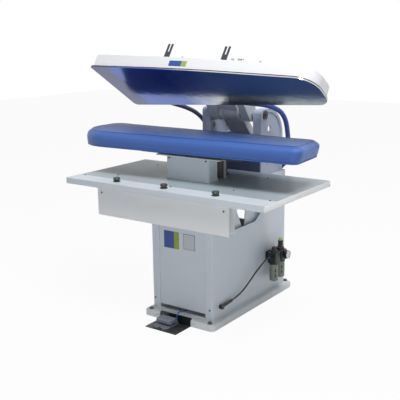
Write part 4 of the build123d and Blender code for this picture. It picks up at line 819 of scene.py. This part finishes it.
# Side castings and shaft: two grey cast channels carry the bronze bushes. The shaft turns in
# them with the arms, and black caps cover its ends.
cast_grey, _ = press_finish(
    "cast_grey", tint(172, 182, 204), 0.4, grain=170, depth=0.55, patchy=0.08, rub=0.5,
    rubbed_to=tint(206, 209, 214), dust=0.2, soft=0.0025,
)
cast_arms, _ = press_finish(
    "cast_arms", tint(206, 211, 218), 0.4, grain=170, depth=0.5, patchy=0.06, rub=0.4, dust=0.2, soft=0.003
)
bronze, _ = press_finish("bronze", tint(176, 132, 76), 0.35, metal=1.0, grain=800)
bright_steel, _ = press_finish("bright_steel", tint(196, 198, 200), 0.2, metal=1.0, grain=1500, depth=0.05, rub=0.1)
dress(cast_grey, "cheek_left", "cheek_right")
dress(cast_arms, "arm_right", "tail_lever")
dress(bronze, "shaft_bushes")
dress(bright_steel, "pivot_shaft", "piston_rod", "tie_rods")


def hex_head(name, place, way, across, height, finish):
    """Hexagon head on its washer."""
    washer = turned(
        name + "_washer",
        [(0, 0), (across * 0.98, 0), (across * 0.98, 0.0012), (across * 0.94, 0.0016), (0, 0.0016)],
        place, way, steps=28,
    )
    head = turned(
        name + "_head",
        [(0, 0.0016), (across / 1.73, 0.0016), (across / 1.73, height * 0.85), (across / 1.95, height),
         (0, height)],
        place, way, steps=6,
    )
    bolt = welded(name, [washer, head])
    dress(finish, bolt)
    return bolt


# Throat shade sheet and liner: painted shade. A thin dark sheet stands for the shade in the throat
# between the castings, and another for the shade inside the left one. Each has a pressed field in its middle.
bpy.ops.object.select_all(action="DESELECT")
bpy.ops.mesh.primitive_cube_add(size=1, location=(0, 0.1010, 0.8715), scale=(0.4040, 0.0020, 0.1470))
throat_shade = bpy.context.object
throat_shade.name = throat_shade.data.name = "throat_shade_sheet"
bpy.ops.object.transform_apply()
for face in throat_shade.data.polygons:
    face.select = face.normal.y < -0.5
bpy.ops.object.mode_set(mode="EDIT")
bpy.ops.mesh.select_mode(type="FACE")
bpy.ops.mesh.inset(thickness=0.014)
bpy.ops.mesh.inset(thickness=0.004, depth=0.004)
bpy.ops.object.mode_set(mode="OBJECT")
round_edges(throat_shade, 0.0008, 2)
bpy.ops.object.shade_smooth_by_angle(angle=radians(40))
# Painted shade: a dark blue-grey for the shade under the buck and inside the left casting.
painted_shade_sheet, _ = press_finish("painted_shade_sheet", tint(78, 88, 122), 0.42, grain=300, depth=0.1, patchy=0.03, dust=0.1)
fit_on("base", "dark_paint", painted_shade_sheet, throat_shade)
# Painted shade: a dark sheet standing for the shade on the inner face of the left casting.
shade_liner_outline = [(0.126, 0.560), (0.338, 0.560), (0.338, 0.985), (0.268, 1.074), (0.126, 1.074)]
shade_liner = from_corners("casting_shade_liner", [(-0.1963, y, z) for y, z in shade_liner_outline], [(0, 1, 2, 3, 4)])
pick_only(shade_liner)
edit_all()
bpy.ops.mesh.extrude_region_move(TRANSFORM_OT_translate={"value": (0.0015, 0, 0)})
bpy.ops.mesh.inset(thickness=0.010)
bpy.ops.mesh.inset(thickness=0.004, depth=0.0025)
close_outwards()
bpy.ops.object.shade_smooth_by_angle(angle=radians(30))
fit_on("base", "dark_paint", painted_shade_sheet, shade_liner)

# Shaft collars and bolts: cast collars keep the arms apart on the shaft, each arm has a set
# screw, and two hexagon bolts hold each casting to the frame.
pivot_place = Vector((0, 0.155, 1.122))
for name, first, second, broad in (
    ("shaft_ring", -0.096, -0.070, 0.0400), ("shaft_sleeve", -0.070, 0.036, 0.0290),
    ("shaft_flange", 0.036, 0.056, 0.0460),
):
    wide = second - first
    collar = turned(
        name,
        [(0.0193, 0), (broad - 0.002, 0), (broad, 0.002), (broad, wide - 0.002), (broad - 0.002, wide),
         (0.0193, wide), (0.0193, 0)],
        pivot_place + Vector((first, 0, 0)), (1, 0, 0), steps=56,
    )
    fit_on("head", "cast_arms", cast_arms, collar)
for side, label in ((-1, "left"), (1, "right")):
    for number, (y, z) in enumerate([(0.205, 0.830), (0.290, 0.830)]):
        bolt = hex_head(
            f"cheek_bolt_{label}_{number}", (side * 0.2002, y, z), (side, 0, 0), 0.013, 0.0068, zinc_steel
        )
        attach(bolt, "base")
for name, x in (("set_screw_left", -0.088), ("set_screw_right", 0.060)):
    way = Vector((0, -0.78, 0.62)).normalized()
    screw = turned(
        name,
        [(0, 0), (0.0050, 0), (0.0050, 0.0020), (0.0044, 0.0028), (0.0026, 0.0028), (0.0026, 0.0008), (0, 0.0008)],
        pivot_place + Vector((x, 0, 0)) + way * 0.0275, way, steps=20,
    )
    fit_on("head", "zinc_steel", zinc_steel, screw)

# Head: the polished sole plate with its black seal, under the steam chest and the white
# casing. Two slotted brackets, three plugs and a lifting bail stand on top.
# The sole's blue-purple base colour is partly painted reflection of the blue cover and pale floor.
polished_sole, shader = press_finish(
    "polished_sole", tint(118, 122, 156), 0.16, metal=1.0, grain=60, depth=0.02, patchy=0.16, rub=0, dust=0
)
tree = polished_sole.node_tree
where = object_place(tree)
drawn_out = put(tree, "ShaderNodeMapping", {"Vector": where, "Scale": (3.0, 260.0, 260.0)})
streaks = put(tree, "ShaderNodeTexNoise", {"Vector": drawn_out.outputs[0], "Scale": 1.0, "Detail": 3.0})
gloss = reckon(tree, "ADD", times(tree, streaks.outputs[0], 0.10), 0.07)
tree.links.new(gloss, shader.inputs["Roughness"])
waves = put(tree, "ShaderNodeTexNoise", {"Vector": where, "Scale": 9.0, "Detail": 3.0, "Roughness": 0.6})
not_flat = put(tree, "ShaderNodeBump", {"Strength": 0.5, "Distance": 0.0022, "Height": waves.outputs[0]})
tree.links.new(not_flat.outputs[0], shader.inputs["Normal"])
# Painted reflection: purple-grey at the left, blue in the middle and near white at the right, with ragged edges.
along_plate = put(tree, "ShaderNodeSeparateXYZ", {0: where}).outputs["X"]
ragged = put(tree, "ShaderNodeTexNoise", {"Vector": where, "Scale": 13.0, "Detail": 5.0, "Roughness": 0.7})
shifted = reckon(tree, "ADD", along_plate, times(tree, reckon(tree, "SUBTRACT", ragged.outputs[0], 0.5), 0.18))
on_middle = times(tree, reckon(tree, "ADD", shifted, 0.52), 22.0, clamp=True)
on_right = times(tree, reckon(tree, "ADD", shifted, 0.16), 3.2, clamp=True)
painted_reflection_tint = mixed(tree, on_middle, tint(92, 95, 124), tint(78, 108, 186))
painted_reflection_tint = mixed(tree, on_right, painted_reflection_tint, tint(236, 240, 232))
bare_plate = present_colour(shader)
tree.links.new(mixed(tree, 0.25, painted_reflection_tint, bare_plate), shader.inputs["Base Color"])
black_rubber, _ = press_finish("black_rubber", tint(22, 23, 26), 0.6, grain=500, depth=0.2, dust=0.1)
dress(polished_sole, "sole_plate")
dress(black_rubber, "rim_seal", "air_hose")
head_paint, _ = press_finish(
    "head_paint", tint(242, 243, 247), 0.3, grain=330, depth=0.08, patchy=0.015, rub=0.3,
    rubbed_to=tint(214, 217, 222), dust=0.05,
)
dress(head_paint, "head_casing")
casing_blue, shader = press_finish("casing_blue", tint(40, 84, 160), 0.3, grain=300, depth=0.03, dust=0.05)
tree = casing_blue.node_tree
across = put(tree, "ShaderNodeSeparateXYZ", {0: object_place(tree)}).outputs["X"]
plain = present_colour(shader)
right_field = reckon(tree, "GREATER_THAN", across, -0.012)
tree.links.new(mixed(tree, right_field, plain, tint(164, 180, 92)), shader.inputs["Base Color"])
dress(casing_blue, "casing_plate")

# Return springs: two long coils of spring wire from the bar on the lever to lugs on the
# beam, each with a straight tail at both ends. They pull the head open.
spring_steel, _ = press_finish("spring_steel", tint(150, 152, 156), 0.3, metal=1.0, grain=900)
spring_foot = Vector((0, 0.310, 0.5563))
spring_top = Vector((0, 0.2959, 0.9864))
spring_way = (spring_top - spring_foot).normalized()
spring_front = Vector((0, -spring_way.z, spring_way.y))
for label, x in (("left", -0.1215), ("right", 0.0585)):
    start = spring_foot + Vector((x, 0, 0))
    reach = (spring_top - spring_foot).length - 0.008
    turns = 34
    wire = [start + spring_way * (0.002 + 0.024 * k / 6) for k in range(7)]
    first, final = 0.036, reach - 0.036
    for k in range(turns * 18 + 1):
        share = k / (turns * 18)
        radius = 0.018 * max(0.05, min(1.0, share * turns, (1 - share) * turns))
        around = tau * turns * share
        wire.append(
            start + spring_way * (first + (final - first) * share)
            + radius * (Vector((cos(around), 0, 0)) + spring_front * sin(around))
        )
    wire += [start + spring_way * (final + 0.010 + (reach - final - 0.0115) * k / 6) for k in range(7)]
    spring = tube_on("return_spring_" + label, wire, 0.0032, sides=8)
    dress(spring_steel, spring)
    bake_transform(spring)
    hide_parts("return_springs")

# Closing cylinder: a drawn aluminium barrel between two square caps on four tie rods. Nuts
# hold the rods, and an elbow in each cap takes the air.
cylinder_alloy, _ = press_finish("cylinder_alloy", tint(186, 188, 190), 0.28, metal=1.0, grain=900, depth=0.05)
dress(cylinder_alloy, "cylinder_caps", "cylinder_barrel")
cylinder_foot = Vector((-0.0315, 0.340, 0.562))
cylinder_way = Vector((0, -0.019544, 0.999809))
cylinder_front = Vector((0, -0.999809, -0.019544))
for number, (a, b) in enumerate([(-1, -1), (-1, 1), (1, -1), (1, 1)]):
    place = cylinder_foot + cylinder_way * 0.279 + Vector((a * 0.040, 0, 0)) + cylinder_front * (b * 0.040)
    nut = turned(
        f"tie_nut_{number}",
        [(0, 0), (0.0075, 0), (0.0075, 0.0055), (0.0066, 0.0065), (0.004, 0.0065), (0.004, 0.009), (0, 0.009)],
        place, cylinder_way, steps=6,
    )
    fit_on("cylinder", "zinc_steel", zinc_steel, nut)
for number, height in enumerate((0.034, 0.269)):
    place = cylinder_foot + cylinder_way * height + cylinder_front * -0.048
    elbow = turned(
        f"cylinder_elbow_{number}",
        [(0, 0), (0.0085, 0), (0.0085, 0.006), (0.0070, 0.0065), (0.0070, 0.014), (0.0080, 0.0145), (0.0080, 0.018),
         (0.0045, 0.019), (0, 0.0185)],
        place, -cylinder_front, steps=12,
    )
    fit_on("cylinder", "cylinder_alloy", fitting_blue, elbow)

# Steam manifold: a brass-coloured pipe behind the castings with a welded nipple for each
# hose and a hexagon inlet. Union nuts cover the joints with the hose ferrules.
pipe_brass, _ = press_finish("pipe_brass", tint(168, 140, 88), 0.36, metal=1.0, grain=500, depth=0.15)
dress(pipe_brass, "steam_manifold")
for label, x in (("left", -0.100), ("right", 0.100)):
    union = turned(
        "manifold_union_" + label,
        [(0.0125, 0), (0.0205, 0), (0.0205, 0.013), (0.0190, 0.0145), (0.0125, 0.0145), (0.0125, 0)],
        (x, 0.3803, 0.531), steps=6,
    )
    fit_on("base", "pipe_brass", pipe_brass, union)

# Air service unit: a lubricator and a filter with its regulator, side by side on a bracket.
# Smoky bowls hang in slotted guards under black rings, and the knob turns on top.
unit_x, lubricator_y, filter_y = 0.262, 0.177, 0.253
unit_plastic, _ = press_finish("unit_plastic", tint(26, 34, 36), 0.42, grain=420, depth=0.15, dust=0.3)
bowl_smoke, shader = press_finish(
    "bowl_smoke", tint(132, 140, 126), 0.24, grain=200, depth=0.03, patchy=0.2, dust=0.2
)
shader.inputs["Coat Weight"].default_value = 0.5
knob_black, _ = press_finish("knob_black", tint(30, 31, 34), 0.45, grain=500, dust=0.2)
knob_red, _ = press_finish("knob_red", tint(112, 30, 40), 0.35, grain=500, depth=0.05, dust=0.1)
lime_plastic, _ = press_finish("lime_plastic", tint(176, 190, 84), 0.35, grain=500, depth=0.05, dust=0.1)
dress(unit_plastic, "unit_bodies")
dress(bowl_smoke, "unit_bowls")
dress(knob_black, "regulator_knob")
for label, y, low in (("lubricator", lubricator_y, 0.128), ("filter", filter_y, 0.132)):
    ring = turned(
        label + "_bowl_ring",
        [(0.0272, 0), (0.0292, 0.0006), (0.0296, 0.002), (0.0296, 0.009), (0.0290, 0.0102), (0.0272, 0.0106),
         (0.0272, 0)],
        (unit_x, y, 0.2272), steps=48,
    )
    fit_on("base", "black_plastic", black_plastic, ring)
    windows = []
    for quarter in range(4):
        facing = radians(90 * quarter - 40)
        for height in (0.026, 0.056):
            bpy.ops.object.select_all(action="DESELECT")
            bpy.ops.mesh.primitive_cube_add(
                size=1, location=(0.0266, 0, height), scale=(0.0028, 0.0070, 0.0180)
            )
            window = bpy.context.object
            bpy.ops.object.transform_apply()
            round_edges(window, 0.0012, 2)
            window.data.transform(Matrix.Translation((unit_x, y, low + 0.006)) @ Matrix.Rotation(facing, 4, "Z"))
            windows.append(window)
    sights = welded(label + "_sight_windows", windows)
    sights.data.shade_flat()
    fit_on("base", "black_plastic", black_plastic, sights)
    cup = turned(
        label + "_cup",
        [(0, 0.0005), (0.012, 0.0010), (0.0205, 0.0035), (0.0248, 0.0090), (0.0262, 0.0180), (0.0264, 0.0800),
         (0, 0.0800)],
        (unit_x, y, low + 0.014), steps=40,
    )
    fit_on("base", "bowl_smoke", bowl_smoke, cup)
knob_ring = turned(
    "knob_red_ring",
    [(0.0142, 0), (0.0164, 0.0004), (0.0168, 0.0014), (0.0168, 0.0062), (0.0164, 0.0072), (0.0142, 0.0076),
     (0.0142, 0)],
    (unit_x, filter_y, 0.3180), steps=48,
)
knob_cap = turned(
    "knob_lime_cap",
    [(0, 0), (0.0112, 0), (0.0112, 0.0080), (0.0104, 0.0105), (0.0080, 0.0122), (0, 0.0126)],
    (unit_x, filter_y, 0.3562), steps=40,
)
dress(knob_red, knob_ring)
dress(lime_plastic, knob_cap)
for piece in (knob_ring, knob_cap):
    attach(piece, "knob")

# Pressure gauge: a black case with a chromed rim, a white dial with ticks and a needle, and
# a flat glass. It screws into the right side of the regulator.
gauge_case, _ = press_finish("gauge_case", tint(34, 35, 38), 0.35, grain=500, dust=0.2)
dress(gauge_case, "pressure_gauge")
dial_white, _ = press_finish("dial_white", tint(236, 236, 230), 0.5, grain=300, depth=0.02, dust=0)
gauge_middle = Vector((0.3163, filter_y, 0.274))
dial = turned("gauge_dial", [(0, 0), (0.0224, 0), (0.0224, 0.0004), (0, 0.0004)], gauge_middle, (1, 0, 0), steps=48)
dress(dial_white, dial)
rim = turned(
    "gauge_rim",
    [(0.0228, 0), (0.0262, 0), (0.0266, 0.0012), (0.0258, 0.0030), (0.0240, 0.0034), (0.0228, 0.0026), (0.0228, 0)],
    gauge_middle + Vector((0.0004, 0, 0)), (1, 0, 0), steps=56,
)
dress(zinc_steel, rim)
marks = []
for k in range(31):
    swing = radians(225 - 9 * k)
    inner, broad = (0.0160, 0.0007) if k % 5 == 0 else (0.0182, 0.00035)
    out = Vector((0, cos(swing), sin(swing)))
    wide = Vector((0, -sin(swing), cos(swing))) * broad
    marks.append([out * inner - wide, out * 0.0208 - wide, out * 0.0208 + wide, out * inner + wide])
point = Vector((0, cos(radians(120)), sin(radians(120))))
wide = Vector((0, -point.z, point.y)) * 0.0009
tail, tip = point * -0.006, point * 0.0165
marks.append([tail - wide, tip - wide * 0.3, tip + wide * 0.3, tail + wide])
ticks = from_corners(
    "gauge_marks", [gauge_middle + Vector((0.0006, 0, 0)) + corner for mark in marks for corner in mark],
    [tuple(range(4 * k, 4 * k + 4)) for k in range(len(marks))],
)
pick_only(ticks)
plate = ticks.modifiers.new("plate", "SOLIDIFY")
plate.thickness = 0.0003
plate.offset = 0
bpy.ops.object.modifier_apply(modifier="plate")
dress(gauge_case, ticks)
glass = turned(
    "gauge_glass", [(0, 0), (0.0230, 0), (0.0230, 0.0007), (0.0100, 0.0012), (0, 0.0013)],
    gauge_middle + Vector((0.0018, 0, 0)), (1, 0, 0), steps=48,
)
clear, shader = press_finish(
    "gauge_clear", tint(246, 249, 248), 0.08, grain=60, depth=0.01, patchy=0.01, rub=0, dust=0
)
shader.inputs["Transmission Weight"].default_value = 1.0
shader.inputs["IOR"].default_value = 1.3
dress(clear, glass)
hub = turned(
    "gauge_hub", [(0, 0), (0.0024, 0), (0.0022, 0.0008), (0, 0.0010)],
    gauge_middle + Vector((0.0006, 0, 0)), (1, 0, 0), steps=20,
)
dress(zinc_steel, hub)
for piece in (dial, rim, ticks, glass, hub):
    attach(piece, "base")

# Foot pedal: a dark steel floor plate with a cast base, and a grey alloy treadle that rocks
# on its pin. Raised studs on the treadle give grip, and four screws hold the plate.
pedal_black, _ = press_finish("pedal_black", tint(18, 27, 26), 0.34, grain=140, depth=0.4, rub=0.4, dust=0.12)
pedal_base_grey, _ = press_finish(
    "pedal_base_grey", tint(86, 94, 110), 0.5, grain=160, depth=0.6, dust=0.4, soft=0.0025
)
pedal_grey, _ = press_finish(
    "pedal_grey", tint(116, 124, 142), 0.4, metal=0.3, grain=180, depth=0.6, rub=0.8, dust=0.4, soft=0.002
)
dress(pedal_black, "pedal_plate")
dress(pedal_base_grey, "pedal_base")
dress(pedal_grey, "treadle")
bpy.ops.object.select_all(action="DESELECT")
bpy.ops.mesh.primitive_ico_sphere_add(subdivisions=2, radius=0.0026, location=(-0.074, -0.534, 0.0418))
stud = bpy.context.object
stud.name = "treadle_studs"
bpy.ops.object.transform_apply()
edit_all()
bpy.ops.transform.resize(value=(1.25, 1.25, 0.5), center_override=(-0.074, -0.534, 0.0418))
bpy.ops.object.mode_set(mode="OBJECT")
for name, number, step in (("across", 10, (0.0098, 0, 0)), ("along", 5, (0, 0.0110, 0.00042))):
    row = stud.modifiers.new(name, "ARRAY")
    row.use_relative_offset = False
    row.use_constant_offset = True
    row.count = number
    row.constant_offset_displace = step
    bpy.ops.object.modifier_apply(modifier=name)
stud.data.transform(Matrix.Translation((0, 0.004, 0.0022)))
stud.data.shade_smooth()
fit_on("treadle", "pedal_grey", pedal_grey, stud)
for number, (x, y) in enumerate([(-0.108, -0.570), (0.076, -0.570), (-0.108, -0.462), (0.076, -0.462)]):
    screw = turned(
        f"pedal_screw_{number}",
        [(0, 0), (0.0055, 0), (0.0052, 0.0014), (0.0040, 0.0022), (0.0022, 0.0025), (0.0022, 0.0012), (0, 0.0012)],
        (x, y, 0.003), steps=24,
    )
    fit_on("base", "zinc_steel", screw_steel, screw)

# Studio: a wide pale floor that keeps a faint shadow, a white surround, a broad soft light
# overhead, a second at the front right, and weak ones to the left and behind.
def looked_at(tree):
    """1 for rays from the eye, off a gloss or through glass, and 0 for light on the press."""
    rays = put(tree, "ShaderNodeLightPath")
    seen = reckon(tree, "MAXIMUM", rays.outputs["Is Camera Ray"], rays.outputs["Is Glossy Ray"])
    return reckon(tree, "MAXIMUM", seen, rays.outputs["Is Transmission Ray"])


bpy.ops.object.select_all(action="DESELECT")
bpy.ops.mesh.primitive_plane_add(size=24, location=(0, 0, -0.0004))
floor = bpy.context.object
floor.name = "studio_floor"
floor_finish = bpy.data.materials.new("studio_floor")
floor_finish.use_nodes = True
tree = floor_finish.node_tree
tree.nodes.remove(tree.nodes["Principled BSDF"])
matt = put(tree, "ShaderNodeBsdfDiffuse", {"Color": tint(232, 234, 238)})
bright = put(tree, "ShaderNodeEmission", {"Color": (1, 1, 1, 1), "Strength": 1.0})
share = times(tree, looked_at(tree), 0.95)
both = put(tree, "ShaderNodeMixShader", {0: share, 1: matt.outputs[0], 2: bright.outputs[0]})
tree.links.new(both.outputs[0], tree.nodes["Material Output"].inputs["Surface"])
floor.data.materials.append(floor_finish)
floor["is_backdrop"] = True

world = bpy.context.scene.world or bpy.data.worlds.new("studio")
bpy.context.scene.world = world
world.use_nodes = True
tree = world.node_tree
surround = tree.nodes["Background"]
surround.inputs["Color"].default_value = (1, 1, 1, 1)
shone = reckon(tree, "ADD", times(tree, looked_at(tree), 0.84), 0.16)
tree.links.new(shone, surround.inputs["Strength"])


def soft_light(name, place, aim, size, power):
    """Square soft light that points at a place."""
    lamp = bpy.data.objects.new(name, bpy.data.lights.new(name, "AREA"))
    lamp.data.size = size
    lamp.data.energy = power
    bpy.context.collection.objects.link(lamp)
    lamp.location = place
    lamp.rotation_euler = (Vector(aim) - Vector(place)).to_track_quat("-Z", "Y").to_euler()


soft_light("overhead", (1.7, -1.3, 5.0), (0.1, -0.25, 0.9), 2.0, 180)
soft_light("front_right", (2.6, -3.2, 0.6), (0.1, -0.3, 0.2), 1.4, 18)
soft_light("left_fill", (-3.2, -2.0, 2.0), (0, 0, 0.9), 2.5, 5)
soft_light("behind", (0.6, 3.4, 2.6), (0, 0, 1.0), 2.0, 8)

bpy.context.scene.view_settings.view_transform = "Standard"
low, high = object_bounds()
